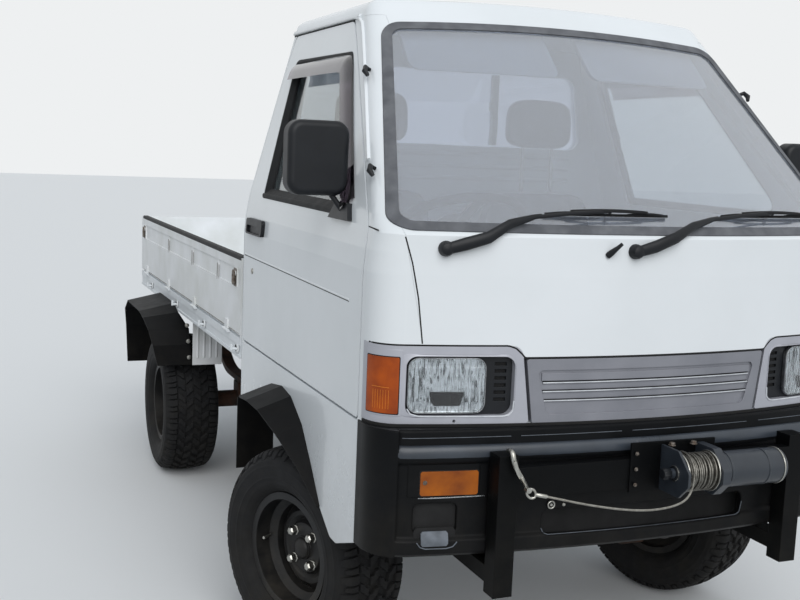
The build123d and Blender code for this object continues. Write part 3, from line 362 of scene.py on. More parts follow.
def axes_of(axis: Sequence[float]) -> Array:
    """Three directions at right angles, as rows, of which the last is the axis."""
    w = unit(np.asarray(axis, float))
    u = unit(np.cross(w, np.eye(3)[int(np.argmin(np.abs(w)))]))
    return np.stack([u, np.cross(w, u), w])


def lathe(profile: Sequence[Sequence[float]], centre: Sequence[float], axis: Sequence[float],
          segments: int = 48, hollow: bool = False) -> Shell:
    """Profile turned about an axis: point = centre + axis * along + radius at each angle.

    Args:
        profile: (radius, along) in order.
        centre: a point on the axis.
        axis: its direction.
        segments: steps round it.
        hollow: the profile is a closed ring; otherwise it starts and ends near the axis, and its
            ends are capped.

    Returns:
        The closed surface.
    """
    shape = np.asarray(profile, float)
    u, v, w = axes_of(axis)
    angle = np.linspace(0, 2 * pi, segments, endpoint=False)
    around = np.cos(angle)[:, None] * u + np.sin(angle)[:, None] * v
    radius, along = np.maximum(shape[:, 0], 0.02), shape[:, 1]
    grid = np.asarray(centre, float) + radius[:, None, None] * around + along[:, None, None] * w
    return grid_shell(grid, wrap_rows=hollow, wrap_columns=True, cap=not hollow).outward()


def block(low: Sequence[float], high: Sequence[float]) -> Shell:
    """Rectangular block between two corners."""
    (x0, y0, z0), (x1, y1, z1) = low, high
    floor = np.array([(x0, y0, z0), (x1, y0, z0), (x1, y1, z0), (x0, y1, z0)], float)
    return grid_shell(np.array([floor, floor + (0, 0, z1 - z0)]), wrap_columns=True, cap=True).outward()


def hex_head(centre: Sequence[float], axis: Sequence[float], across: float, height: float) -> Shell:
    """Bolt head or nut: a six-sided bar with a turned-down rim, standing on a washer."""
    r = across / sqrt(3)
    washer = lathe([(0, -0.5), (r * 1.25, -0.5), (r * 1.25, 1.2), (0, 1.2)], centre, axis, 20)
    head = lathe([(0, 1.0), (r, 1.0), (r, height - 1), (r * 0.85, height), (0, height)], centre, axis, 6)
    return washer + head


def rest_on(place: Mapping, u: Array, v: Array, height: float | Array = 0.0) -> Array:
    """Points of a mapping for arrays of u and v."""
    return place(*np.broadcast_arrays(*(np.asarray(each, float) for each in (u, v, height))))


def bead(place: Mapping, u: Sequence[float], v: Sequence[float], width: float, height: float,
         samples: int = 24, sunk: float = 1.0) -> Shell:
    """Low rounded strip that follows a line drawn on a mapped surface.

    Args:
        place: the surface.
        u: places of the line's corners across the surface.
        v: their places up it.
        width: width of the strip.
        height: how far it stands proud.
        samples: points along the whole line, evenly spaced.
        sunk: how far its foot lies below the surface.

    Returns:
        The closed strip.
    """
    flat = evenly(np.column_stack([u, v]).astype(float), samples).T
    line = rest_on(place, *flat)
    out = unit(rest_on(place, *flat, 5.0) - line)
    half = width / 2
    section = np.array([(-half, -sunk), (-half, height * 0.4), (-half * 0.5, height), (half * 0.5, height),
                        (half, height * 0.4), (half, -sunk)])
    return sweep(line, section, out)


def rounded_box(u0: float, u1: float, v0: float, v1: float, radius: float) -> list[Corner]:
    """Corners of a rectangle with one radius all round."""
    return [(u0, v0, radius), (u1, v0, radius), (u1, v1, radius), (u0, v1, radius)]


def upright_plane(y: float, way: int) -> Mapping:
    """Mapping onto an upright plane across the truck at y; its heights go to the rear where way is 1."""
    return lambda u, v, height: np.stack([u, y + way * height, v], -1)


def grown(box: Box, by: float) -> Box:
    """Box with its limits moved outwards."""
    u0, u1, v0, v1 = box
    return u0 - by, u1 + by, v0 - by, v1 + by


def lowered(place: Mapping, by: float) -> Mapping:
    """The same mapping with its surface moved inwards."""
    return lambda u, v, height: place(u, v, height - by)


def slab(place: Mapping, box: Box, radius: float, front: Height | float, back: Height | float,
         columns: int = 40, rows: int = 16) -> Shell:
    """Closed plate on a mapped surface, drawn as a rectangle with rounded corners.

    Its columns are cut to the outline: each starts above the box's foot by radius minus the root
    of radius squared minus the square of how far it lies into the corner.

    Args:
        place: the surface.
        box: limits in u, then in v.
        radius: of the corners.
        front: outer height, the same everywhere or worked out at u and v.
        back: inner height, likewise.
        columns: points across, closer together towards both ends.
        rows: points up.

    Returns:
        The closed plate.
    """
    u0, u1, v0, v1 = box
    share = np.linspace(0, 1, columns)
    u = u0 + (u1 - u0) * (0.55 * share + 0.225 * (1 - np.cos(pi * share)))
    near = np.clip(radius - np.minimum(u - u0, u1 - u), 0, radius)
    cut = radius - np.sqrt(radius ** 2 - near ** 2)
    v = v0 + cut + (v1 - v0 - 2 * cut) * np.linspace(0, 1, rows)[:, None]
    u = np.broadcast_to(u, v.shape)
    faces = [rest_on(place, u, v, height(u, v) if callable(height) else height).reshape(-1, 3)
             for height in (front, back)]
    index = np.arange(rows * columns).reshape(rows, columns)
    quads = quads_of(index)
    loop = np.concatenate([index[0, ::-1], index[1:, 0], index[-1, 1:], index[-2:0:-1, -1]])
    ahead, deep = np.roll(loop, -1), index.size
    walls = np.stack([ahead, loop, loop + deep, ahead + deep], axis=-1)
    return Shell(np.vstack(faces), [np.vstack([quads, quads[:, ::-1] + deep, walls])]).outward()


# Finishes


def to_linear(code: str) -> tuple[float, float, float, float]:
    """Linear colour of an sRGB hex value.

    Args:
        code: such as "#E9ECEE".

    Returns:
        Red, green, blue and an alpha of one.
    """
    channels = [int(code[i:i + 2], 16) / 255 for i in (1, 3, 5)]
    red, green, blue = (c / 12.92 if c <= 0.04045 else ((c + 0.055) / 1.055) ** 2.4 for c in channels)
    return red, green, blue, 1.0


def feed(tree: Tree, node: bpy.types.Node, inputs: dict[str | int, object]) -> None:
    """Gives a node's inputs their values, or links them to the sockets that they come from."""
    for name, value in inputs.items():
        if isinstance(value, Socket):
            tree.links.new(value, node.inputs[name])
        else:
            node.inputs[name].default_value = value


def add_node(tree: Tree, kind: str, inputs: dict[str | int, object] | None = None,
             **settings: object) -> bpy.types.Node:
    """Adds a shader node.

    Args:
        tree: the material's nodes.
        kind: the node's type name.
        inputs: value or source socket of each input, by name or number.
        settings: the node's own properties.

    Returns:
        The node.
    """
    made = tree.nodes.new(kind)
    for name, value in settings.items():
        setattr(made, name, value)
    feed(tree, made, inputs or {})
    return made


def per_metre(size_mm: float) -> float:
    """Texture scale that gives a pattern of a size in millimetres."""
    return 1000.0 / size_mm


@dataclass(frozen=True)
class Finish:
    """What every finish has: a name, two tones, and the gloss of its surface.

    Args:
        name: what the surface really is.
        colour: main tone.
        shade: tone that it drifts to.
        drift_mm: size of the drift between both tones.
        drift: how much of the second tone shows.
        roughness: of the clean surface.
        ior: of a dielectric.
        metallic: one for bare metal.
        coat: clear coat over it.
        grain_mm: size of its surface grain, or none; a finer one is drawn coarse enough to show.
        grain: depth of the grain, in millimetres.
        edge_mm: radius to which sharp edges look rounded.
        dust: tone of the dirt that gathers low down, or none.
        dust_top: height in metres where the dirt ends.
        dust_amount: most of it that shows.
    """

    name: str
    colour: str
    shade: str
    drift_mm: float = 300.0
    drift: float = 0.5
    roughness: float = 0.5
    ior: float = 1.5
    metallic: float = 0.0
    coat: float = 0.0
    grain_mm: float | None = None
    grain: float = 0.0
    edge_mm: float = 1.5
    dust: str | None = None
    dust_top: float = 0.8
    dust_amount: float = 0.5

    def build(self) -> bpy.types.Material:
        """Makes the material."""
        material = bpy.data.materials.new(self.name)
        material.use_nodes = True
        tree = material.node_tree
        shader = tree.nodes["Principled BSDF"]
        where = add_node(tree, "ShaderNodeTexCoord").outputs["Object"]
        self.dress(tree, shader, where)
        return material

    def dress(self, tree: Tree, shader: bpy.types.Node, where: Socket) -> None:
        """Links the tones, dirt, gloss and grain to the shader."""
        colour = self.tones(tree, where)
        rough = self.rough_patches(tree, where)
        if self.dust is not None:
            dirt = self.dirt(tree, where)
            colour = add_node(tree, "ShaderNodeMix", {0: dirt, 6: colour, 7: to_linear(self.dust)},
                              data_type="RGBA").outputs[2]
            rough = add_node(tree, "ShaderNodeMix", {0: dirt, 2: rough, 3: 0.9},
                             data_type="FLOAT").outputs[0]
        feed(tree, shader, {"Base Color": colour, "Roughness": rough, "Metallic": self.metallic,
                            "IOR": self.ior, "Coat Weight": self.coat, "Coat Roughness": 0.04,
                            "Normal": self.relief(tree, where)})

    def share(self, tree: Tree, where: Socket) -> Socket:
        """Share of the second tone, which drifts slowly."""
        drift = add_node(tree, "ShaderNodeTexNoise",
                         {"Vector": where, "Scale": per_metre(self.drift_mm), "Detail": 5.0})
        return add_node(tree, "ShaderNodeMapRange",
                        {"Value": drift.outputs["Fac"], "From Min": 0.35, "From Max": 0.7,
                         "To Max": self.drift}).outputs[0]

    def tones(self, tree: Tree, where: Socket) -> Socket:
        """Both tones, mixed by the share of the second."""
        return add_node(tree, "ShaderNodeMix",
                        {0: self.share(tree, where), 6: to_linear(self.colour), 7: to_linear(self.shade)},
                        data_type="RGBA").outputs[2]

    def rough_patches(self, tree: Tree, where: Socket) -> Socket:
        """Gloss that varies by about a tenth over patches a few centimetres wide."""
        patches = add_node(tree, "ShaderNodeTexNoise",
                           {"Vector": where, "Scale": per_metre(45), "Detail": 3.0})
        return add_node(tree, "ShaderNodeMapRange",
                        {"Value": patches.outputs["Fac"], "To Min": self.roughness * 0.85,
                         "To Max": min(1.0, self.roughness * 1.2)}).outputs[0]

    def dirt(self, tree: Tree, where: Socket) -> Socket:
        """Share of dirt: it fades out with height and breaks up in spots."""
        height = add_node(tree, "ShaderNodeSeparateXYZ", {0: where}).outputs["Z"]
        low = add_node(tree, "ShaderNodeMapRange",
                       {"Value": height, "From Min": self.dust_top * 0.3, "From Max": self.dust_top,
                        "To Min": 1.0, "To Max": 0.0})
        spots = add_node(tree, "ShaderNodeTexNoise",
                         {"Vector": where, "Scale": per_metre(60), "Detail": 8.0, "Roughness": 0.65})
        broken = add_node(tree, "ShaderNodeMapRange",
                          {"Value": spots.outputs["Fac"], "From Min": 0.4, "From Max": 0.75,
                           "To Min": 0.25, "To Max": 1.0})
        share = low.outputs[0]
        for factor in (broken.outputs[0], self.dust_amount):
            share = add_node(tree, "ShaderNodeMath", {0: share, 1: factor}, operation="MULTIPLY").outputs[0]
        return share

    def relief(self, tree: Tree, where: Socket) -> Socket:
        """Softened edges, and the grain on top of them."""
        edge = add_node(tree, "ShaderNodeBevel", {"Radius": self.edge_mm / 1000}, samples=4).outputs[0]
        if self.grain_mm is None:
            return edge
        grain = add_node(tree, "ShaderNodeTexNoise",
                         {"Vector": where, "Scale": per_metre(self.grain_mm), "Detail": 2.0})
        return add_node(tree, "ShaderNodeBump",
                        {"Height": grain.outputs["Fac"], "Distance": self.grain / 1000, "Strength": 0.6,
                         "Normal": edge}).outputs[0]


@dataclass(frozen=True)
class ClearGlass(Finish):
    """Glass or clear plastic: light goes through it, tinted by its colour.

    Args:
        coat_ior: of the outer face alone; a high one mirrors more of the sky.
        haze: share of the light that a film of dust scatters.
    """

    coat_ior: float = 1.5
    haze: float = 0.0

    def dress(self, tree: Tree, shader: bpy.types.Node, where: Socket) -> None:
        """Links a faintly smeared surface to a transmitting shader."""
        smear = add_node(tree, "ShaderNodeTexNoise",
                         {"Vector": where, "Scale": per_metre(70), "Detail": 4.0})
        rough = add_node(tree, "ShaderNodeMapRange",
                         {"Value": smear.outputs["Fac"], "To Min": self.roughness,
                          "To Max": self.roughness + 0.03})
        feed(tree, shader, {"Base Color": self.tones(tree, where), "Roughness": rough.outputs[0],
                            "IOR": self.ior, "Transmission Weight": 1.0 - self.haze,
                            "Coat Weight": self.coat, "Coat IOR": self.coat_ior})


@dataclass(frozen=True)
class Woven(Finish):
    """Woven cloth: two crossed sets of threads raise it, and fibres at its edge catch light.

    Args:
        thread_mm: spacing of the threads, drawn about twice as wide as in real cloth so that it shows.
    """

    thread_mm: float = 2.5

    def relief(self, tree: Tree, where: Socket) -> Socket:
        """Crossed waves a thread apart. A wave's scale counts twenty to the pattern's size."""
        waves = [add_node(tree, "ShaderNodeTexWave",
                          {"Vector": where, "Scale": per_metre(self.thread_mm) / 20, "Distortion": 0.6,
                           "Detail": 1.0}, bands_direction=direction).outputs["Fac"]
                 for direction in ("X", "Z")]
        height = add_node(tree, "ShaderNodeMath", dict(enumerate(waves)), operation="MULTIPLY")
        return add_node(tree, "ShaderNodeBump", {"Height": height.outputs[0], "Distance": 0.0006,
                                                 "Strength": 0.7}).outputs[0]

    def dress(self, tree: Tree, shader: bpy.types.Node, where: Socket) -> None:
        """Adds the sheen of its fibres."""
        super().dress(tree, shader, where)
        feed(tree, shader, {"Sheen Weight": 0.4, "Sheen Roughness": 0.5})


@dataclass(frozen=True)
class Streaked(Finish):
    """Surface whose two tones stand in upright streaks: painted reflections, drawn out as flutes draw out
    what they mirror.
    """

    def share(self, tree: Tree, where: Socket) -> Socket:
        """Noise that is eight times longer in height than across, with hard steps between tones."""
        drawn = add_node(tree, "ShaderNodeVectorMath", {0: where, 1: (1.0, 1.0, 0.12)},
                         operation="MULTIPLY")
        noise = add_node(tree, "ShaderNodeTexNoise",
                         {"Vector": drawn.outputs[0], "Scale": per_metre(self.drift_mm), "Detail": 6.0,
                          "Roughness": 0.7, "Distortion": 0.8})
        return add_node(tree, "ShaderNodeMapRange",
                        {"Value": noise.outputs["Fac"], "From Min": 0.47, "From Max": 0.60,
                         "To Max": self.drift}).outputs[0]


# White acrylic enamel on pressed steel: glossy, a little chalky, with road dirt low down.
CAB_PAINT = Finish(
    "white_enamel_on_pressed_steel", "#E6EAED", "#D6DBDD", 420, 0.5, 0.24, coat=0.35, edge_mm=3,
    dust="#8F8778", dust_top=0.75, dust_amount=0.35)
# The same enamel on the bed: duller, greyer in patches, and darker and warmer towards the bottom.
BED_PAINT = Finish(
    "scuffed_white_enamel", "#EEF0F2", "#D2D4D0", 160, 0.7, 0.42, coat=0.1, edge_mm=2.5, dust="#857C6B",
    dust_top=0.9, dust_amount=0.22)
# The bed's floor, which rain keeps cleaner.
BED_FLOOR = Finish("rain_washed_bed_enamel", "#E6EAED", "#D6DADC", 140, 0.7, 0.45, coat=0.1, edge_mm=2.5)
# Enamel inside the cab, out of the light.
CABIN_PAINT = Finish("white_cabin_enamel", "#E0E4E8", "#CBD0D4", 250, 0.5, 0.5)
# Injection-moulded ABS painted with grey metallic lacquer.
GREY_TRIM = Finish(
    "grey_metallic_lacquer_on_abs", "#B4B5BD", "#A0A2A9", 120, 0.6, 0.36, metallic=0.35, coat=0.15,
    grain_mm=1.2, grain=0.02, edge_mm=2)
# The grille panel's lacquer is a shade darker than the bezels'.
GRILLE_GREY = Finish(
    "darker_grey_lacquer_on_grille", "#8C8D94", "#787A81", 120, 0.7, 0.36, metallic=0.4, coat=0.15,
    grain_mm=1.2, grain=0.02, edge_mm=2)
# Grained polypropylene, greyed by the weather.
BUMPER_PLASTIC = Finish(
    "grained_polypropylene", "#07080A", "#0E1013", 130, 0.6, 0.4, ior=1.22, grain_mm=2.2, grain=0.12,
    edge_mm=7, dust="#5C564C", dust_top=0.75, dust_amount=0.2)
# Pale blue-grey painted highlight on the bumper's edges and ledges that face the sky.
BUMPER_HIGHLIGHT = Finish("dusty_bumper_ledge", "#6A7078", "#44494F", 30, 0.8, 0.6, edge_mm=2)
# The brow's roll is glossier, so it mirrors the sky, and its lighter blue-grey is a painted sheen of the
# sky along it.
ROLL_PLASTIC = Finish(
    "sun_greyed_polypropylene", "#3A4048", "#282C32", 90, 0.7, 0.34, grain_mm=2.2, grain=0.05, edge_mm=2)
# Small black mouldings, smoother than the bumper.
DARK_PLASTIC = Finish(
    "moulded_black_plastic", "#121418", "#1C1F23", 60, 0.5, 0.42, ior=1.35, grain_mm=1.5, grain=0.06,
    edge_mm=2)
# Flat near-black: painted shade in gaps and hollows that light doesn't reach, and the colour of dark
# joints, frames and hoods.
DEEP_BLACK = Finish("dark_gap", "#060607", "#0A0A0B", 60, 0.5, 0.85)
# Sheet plastic bent by hand for the flares: flat, slightly glossy, dusty at the foot.
FLARE_SHEET = Finish(
    "bent_black_sheet", "#07080A", "#0D0E11", 150, 0.6, 0.5, ior=1.2, grain_mm=3.0, grain=0.05, edge_mm=1,
    dust="#4F4A42", dust_top=0.75, dust_amount=0.25)
# Satin black paint on welded tube: it drinks light, with dust low down.
BAR_PAINT = Finish(
    "satin_black_on_square_tube", "#050607", "#0A0B0D", 90, 0.5, 0.42, ior=1.2, grain_mm=2.5, grain=0.04,
    edge_mm=3, dust="#4F4A42", dust_top=0.7, dust_amount=0.2)
# Powder coat over a casting: grey-black with a pebbled gloss.
WINCH_PAINT = Finish(
    "powder_coated_winch_casting", "#262B32", "#333940", 50, 0.6, 0.36, coat=0.1, grain_mm=1.8,
    grain=0.06, edge_mm=2.5)
# Chloroprene, chalked grey-brown by the sun.
SEAL_RUBBER = Finish(
    "weathered_chloroprene", "#4E5055", "#6C6E72", 45, 0.9, 0.72, grain_mm=2.5, grain=0.1, edge_mm=1)
# Moulded rubber out of the sun, still black.
FRAME_RUBBER = Finish(
    "black_door_rubber", "#121315", "#1F2123", 40, 0.6, 0.6, ior=1.3, grain_mm=2.5, grain=0.06, edge_mm=1)
# Hot-dip zinc: pale metal with dull spangle.
GALVANISED = Finish("galvanised_steel", "#B7B6B0", "#8E8C85", 12, 0.8, 0.34, metallic=1.0, edge_mm=0.8)
# Zinc-coated wires, bright on their crests.
WIRE_ROPE = Finish("galvanised_wire_rope", "#A3A19A", "#77736B", 8, 0.8, 0.38, metallic=0.9, edge_mm=0.3)
# On the drum the rope keeps its grease and the dirt in it.
GREASED_ROPE = Finish(
    "greased_wire_rope", "#7C7A74", "#4E4B45", 8, 0.85, 0.45, metallic=0.85, edge_mm=0.3)
# The bowl behind the lens, in bright and dark streaks: painted reflections of what the flutes mirror.
REFLECTOR = Streaked(
    "silvered_reflector_behind_flutes", "#E4E8EC", "#171A1E", 5, 0.9, 0.25, metallic=0.6, edge_mm=0.5)
# Worn chrome film: bright, with dull spots.
PLATED_RIM = Finish("worn_plated_rim", "#A9ABAD", "#5E6062", 25, 0.8, 0.25, metallic=1.0, edge_mm=0.6)
# Near-white painted highlight on trim edges that face the sky.
EDGE_HIGHLIGHT = Finish("rubbed_bright_edge", "#DDE0E4", "#B9BDC2", 30, 0.8, 0.3, metallic=0.4, edge_mm=0.6)
# Tread rubber: matt near-black, brown with dust in the lower half.
TYRE_RUBBER = Finish(
    "carbon_black_tread_rubber", "#0E0F12", "#17181B", 35, 0.7, 0.78, ior=1.35, grain_mm=2.0, grain=0.12,
    edge_mm=1, dust="#57503F", dust_top=0.62, dust_amount=0.12)
# Enamel sprayed on the wheels, with road dust.
WHEEL_PAINT = Finish(
    "black_wheel_enamel", "#0E1013", "#181B1F", 60, 0.6, 0.4, ior=1.35, grain_mm=2.5, grain=0.04,
    edge_mm=2.5, dust="#5A5245", dust_top=0.5, dust_amount=0.3)
# Chassis black that rust and mud show through.
CHASSIS_PAINT = Finish(
    "chassis_black_with_rust", "#201C19", "#5A3420", 45, 0.75, 0.75, grain_mm=4, grain=0.3, edge_mm=2,
    dust="#5C4A38", dust_top=0.7, dust_amount=0.3)
# Exhaust pipe with a skin of even brown rust.
RUSTY_PIPE = Finish(
    "rusted_exhaust_steel", "#6B4A35", "#3E2C22", 30, 0.8, 0.7, metallic=0.3, grain_mm=4, grain=0.2)
# Engine and axle castings, grey and rough.
CAST_METAL = Finish(
    "cast_iron_and_alloy", "#4A4A48", "#34322F", 60, 0.7, 0.6, metallic=0.6, grain_mm=3, grain=0.3)
# Grey seat cloth, soft and without gloss.
SEAT_CLOTH = Woven("grey_woven_seat_cloth", "#5B6067", "#4C5057", 90, 0.5, 0.9)
# Padded vinyl with a leather grain.
CABIN_VINYL = Finish(
    "grained_grey_vinyl", "#6E747B", "#62676D", 120, 0.5, 0.55, grain_mm=2.0, grain=0.1, edge_mm=4)
# Pale headlining that brightens the cabin.
LINING = Finish(
    "pale_headlining_vinyl", "#B4BAC0", "#A6ACB1", 200, 0.5, 0.7, grain_mm=3.0, grain=0.08, edge_mm=4)
# Laminated glass under an overcast sky: it mirrors much of the sky, so its coat is strong.
SCREEN_GLASS = ClearGlass(
    "laminated_window_glass", "#D6DDE9", "#CCD4E1", 500, 0.4, 0.0, coat=1.0, coat_ior=2.0, haze=0.16)
# Toughened glass of the doors, a little green.
SIDE_GLASS = ClearGlass("tempered_side_glass", "#C3CCCB", "#B6C0C0", 500, 0.4, 0.0, ior=1.5, coat=0.4)
# Clear pressed glass of the headlamps.
FLUTED_GLASS = ClearGlass("pressed_fluted_lens_glass", "#F2F5F6", "#E6EAEC", 60, 0.4, 0.02, ior=1.52)
# Clear coloured acrylic of the lamps' own solids.
AMBER_LENS = ClearGlass("moulded_amber_acrylic", "#E8871E", "#DB7413", 40, 0.5, 0.12, ior=1.49)
RED_LENS = ClearGlass("moulded_red_acrylic", "#C81E14", "#A8150E", 40, 0.5, 0.12, ior=1.49)
# Rain guards: dark see-through sheet with a hard gloss.
SMOKED_ACRYLIC = ClearGlass("smoked_acrylic", "#5E525E", "#4E434E", 80, 0.5, 0.03, ior=1.49, coat=0.6)
# Acrylic lenses with dark backs: deep faded tones.
AMBER_SHELL = Finish("faded_amber_acrylic", "#B04E04", "#7E2E04", 55, 0.9, 0.3, ior=1.4, edge_mm=0.8)
LAMP_AMBER = Finish("bumper_lamp_acrylic", "#A85A08", "#743504", 60, 0.9, 0.3, ior=1.4, edge_mm=0.8)
STOP_RED = Finish("faded_red_acrylic", "#A5140C", "#7E0E08", 55, 0.8, 0.3, ior=1.4, edge_mm=0.8)
# Ribs of the lens, a lighter amber as a painted highlight where they catch the light.
AMBER_RIB = Finish("moulded_amber_rib", "#DE8420", "#B4641C", 15, 0.7, 0.3, edge_mm=0.5)
# Zinc plate on small steel parts, half gone to rust.
RUSTY_ZINC = Finish("rusted_zinc_plate", "#5A4E44", "#8F8B85", 12, 0.85, 0.5, metallic=0.6, edge_mm=1)
# Silvered glass, a plain mirror.
MIRROR_GLASS = Finish("silvered_mirror_glass", "#D9DEE1", "#C9CED2", 80, 0.3, 0.03, metallic=1.0)
# White moulding, and the reversing lamps' lens.
WHITE_PLASTIC = Finish("white_moulded_plastic", "#E4E4E0", "#CFCFC9", 30, 0.5, 0.45)

SLOT_FINISH = {
    "white_paint": CAB_PAINT, "cabin_paint": CABIN_PAINT, "window_glass": SCREEN_GLASS,
    "seal_rubber": SEAL_RUBBER, "grey_trim": GREY_TRIM, "clear_lens": FLUTED_GLASS,
    "amber_lens": AMBER_LENS, "red_lens": RED_LENS, "black_plastic": DARK_PLASTIC,
    "black_sheet": FLARE_SHEET, "black_paint": BAR_PAINT, "drum_steel": GALVANISED,
    "rope_steel": GALVANISED, "seat_cloth": SEAT_CLOTH, "frame_paint": CHASSIS_PAINT,
    "engine_iron": CAST_METAL, "pipe_steel": RUSTY_PIPE, "tyre_rubber": TYRE_RUBBER,
    "cabin_vinyl": LINING,
}
NODE_FINISH = {
    **dict.fromkeys(("side_gate_right", "side_gate_left", "tailgate", "headboard", "splash_panels"),
                    BED_PAINT),
    **dict.fromkeys(("rim_front_right", "rim_front_left", "rim_rear_right", "rim_rear_left"), WHEEL_PAINT),
    **dict.fromkeys(("door_glass_right", "door_glass_left"), SIDE_GLASS),
    "grille_panel": GRILLE_GREY, "bed_floor": BED_FLOOR, "front_bumper": BUMPER_PLASTIC,
    "winch": WINCH_PAINT, "dashboard": CABIN_VINYL,
}


def new_object(name: str, data: bpy.types.ID) -> bpy.types.Object:
    """Object of a mesh, camera or lamp, in the scene."""
    made = bpy.data.objects.new(name, data)
    bpy.context.scene.collection.objects.link(made)
    return made


@dataclass
class Workshop:
    """Where pieces are made into objects, dressed and set on their bodies.

    Args:
        materials: those made so far, by their finishes' names.
        shift_y: the drawing frame's place along the truck, in millimetres; found from the CAD.
    """

    frame: dict
    materials: dict[str, bpy.types.Material] = field(default_factory=dict)
    shift_y: float = 0.0

    def __post_init__(self) -> None:
        """Finds where the drawing frame lies: its Y is zero one wheelbase ahead of the rear wheels."""
        low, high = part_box("tyre_rear_right")
        self.shift_y = (low.y + high.y) * 500 - WHEELBASE

    def metres(self, points: Array) -> Array:
        """Drawing millimetres as scene metres."""
        return (np.asarray(points, float) + (0, self.shift_y, 0)) / 1000

    def millimetres(self, points: Array) -> Array:
        """Scene metres as drawing millimetres."""
        return np.asarray(points, float) * 1000 - (0, self.shift_y, 0)

    def material(self, finish: Finish) -> bpy.types.Material:
        """The finish's material, made once."""
        if finish.name not in self.materials:
            self.materials[finish.name] = finish.build()
        return self.materials[finish.name]

    def add(self, name: str, shell: Shell, finish: Finish, body: str, slot: str | None = None,
            replaces: Sequence[str] = (), smooth: float = 35.0) -> bpy.types.Object:
        """Makes a surface an object and sets it on a body.

        Args:
            name: the piece's name.
            shell: its surface, in drawing millimetres.
            finish: its material.
            body: the CAD body that it rides on.
            slot: the record's material slot; not used.
            replaces: CAD nodes that it stands for.
            smooth: faces that meet at less than this many degrees shade as one.

        Returns:
            The object.
        """
        mesh = bpy.data.meshes.new(name)
        faces = [face for group in shell.faces for face in group.tolist()]
        mesh.from_pydata(self.metres(shell.points).tolist(), [], faces)
        mesh.validate()
        mesh.shade_smooth()
        mesh.set_sharp_from_angle(angle=radians(smooth))
        piece = new_object(name, mesh)
        piece.data.materials.append(self.material(finish))
        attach(piece, body)
        if replaces:
            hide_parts(*replaces)
        LOG.info("%s: %d faces on %s", name, len(faces), body)
        return piece

    def add_pair(self, name: str, shell: Shell, finish: Finish,
                 bodies: tuple[str, str] = (CHASSIS, CHASSIS), **more: object) -> None:
        """Makes a right-hand piece and its mirror image on two bodies."""
        self.add(name + "_right", shell, finish, bodies[0], **more)
        self.add(name + "_left", shell.mirrored(), finish, bodies[1], **more)

    def add_rows(self, rows: Sequence[tuple], mirrored: bool = False) -> None:
        """Makes each row's piece on the chassis.

        Args:
            rows: name, surface and finish, then the slot and the replaced nodes where it has them.
            mirrored: each surface stands on both sides of the truck.
        """
        for name, shell, finish, *more in rows:
            self.add(name, both_sides(shell) if mirrored else shell, finish, CHASSIS, *more)

    def dress_nodes(self) -> None:
        """Gives every CAD node the finish of its slot, or its own."""
        slots = {row["node"]: row["material_slot"] for row in self.frame["record"]["subparts"]}
        for name, node in self.frame["nodes"].items():
            finish = NODE_FINISH.get(name, SLOT_FINISH[slots[name]])
            node.data.materials.clear()
            node.data.materials.append(self.material(finish))
        LOG.info("dressed %d nodes", len(slots))


# Surfaces of the cab and bumper


@dataclass(frozen=True)
class CabSkin:
    """Outer surface of the cab, by plan outlines at a few heights.

    Args:
        heights: of the outlines.
        halves: half width at each.
        fronts: y of the middle of the front at each.
        corners: radius of the front corners at each.
        bow: plan radius of the front and windscreen.
    """

    heights: tuple[float, ...] = (400, 1140, 1190, 1231, 1271, 1850)
    halves: tuple[float, ...] = (693, 693, 689, 682, 674, 516.5)
    fronts: tuple[float, ...] = (-729, -729, -728, -727, -686, -97.7)
    corners: tuple[float, ...] = (85, 85, 83, 80, 79, 50)
    bow: float = 2527.0

    def half(self, z: Array | float) -> Array:
        """Half width at a height."""
        return np.interp(z, self.heights, self.halves)

    def plan(self, z: Array) -> tuple[Array, Array, Array, Array]:
        """Half width, front, corner radius and y of the corner circle's middle at a height."""
        rows = (self.halves, self.fronts, self.corners)
        half, front, r = (np.interp(z, self.heights, row) for row in rows)
        return half, front, r, front + self.bow - np.sqrt((self.bow - r) ** 2 - (half - r) ** 2)

    def front(self, x: Array, z: Array) -> Array:
        """y of the front: the bow's circle, and past its end the corner's circle."""
        half, front, r, centre_y = self.plan(z)
        across = np.abs(x)
        touch = (half - r) * self.bow / (self.bow - r)
        wide = front + self.bow - np.sqrt(self.bow ** 2 - np.minimum(across, touch) ** 2)
        tight = centre_y - np.sqrt(np.maximum(r ** 2 - np.clip(across - half + r, 0, r) ** 2, 0))
        return np.where(across <= touch, wide, tight)

    def on_front(self, u: Array, v: Array, height: Array) -> Array:
        """Mapping onto the front: u across, v up, height square to the surface in plan."""
        step = 0.5
        slope = (self.front(u + step, v) - self.front(u - step, v)) / (2 * step)
        rise = (self.front(u, v + step) - self.front(u, v - step)) / (2 * step)
        normal = unit(np.stack([slope, -np.ones_like(slope), rise], -1))
        return np.stack([u, self.front(u, v), v], -1) + normal * height[..., None]

    def on_corner(self, u: Array, v: Array, height: Array) -> Array:
        """Mapping round the right front corner: u is the arc from the end of the flat side, below
        zero back along it and past the corner on along the front's bow."""
        half, front, r, centre_y = self.plan(v)
        turn = np.arccos((half - r) / (self.bow - r))
        past = u > r * turn
        angle = np.where(past, turn + (u - r * turn) / self.bow, np.clip(u / r, 0, None))
        radius = np.where(past, self.bow, r)
        x = np.where(past, 0.0, r - half) - radius * np.cos(angle)
        y = np.where(past, front + self.bow, centre_y - np.minimum(u, 0)) - radius * np.sin(angle)
        return np.stack([x - np.cos(angle) * height, y - np.sin(angle) * height, v], -1)

    def on_side(self, u: Array, v: Array, height: Array) -> Array:
        """Mapping onto the right side: u along y, v up."""
        return np.stack([-(self.half(v) + height), u, v], -1)


SKIN = CabSkin()
BUMPER = CabSkin(heights=(400, 800), halves=(700, 700), fronts=(-752, -752), corners=(105, 105),
                 bow=3500)
ON_FRONT, ON_SIDE, ON_CORNER, ON_FIELD = SKIN.on_front, SKIN.on_side, SKIN.on_corner, BUMPER.on_front


# Camera, light and floor


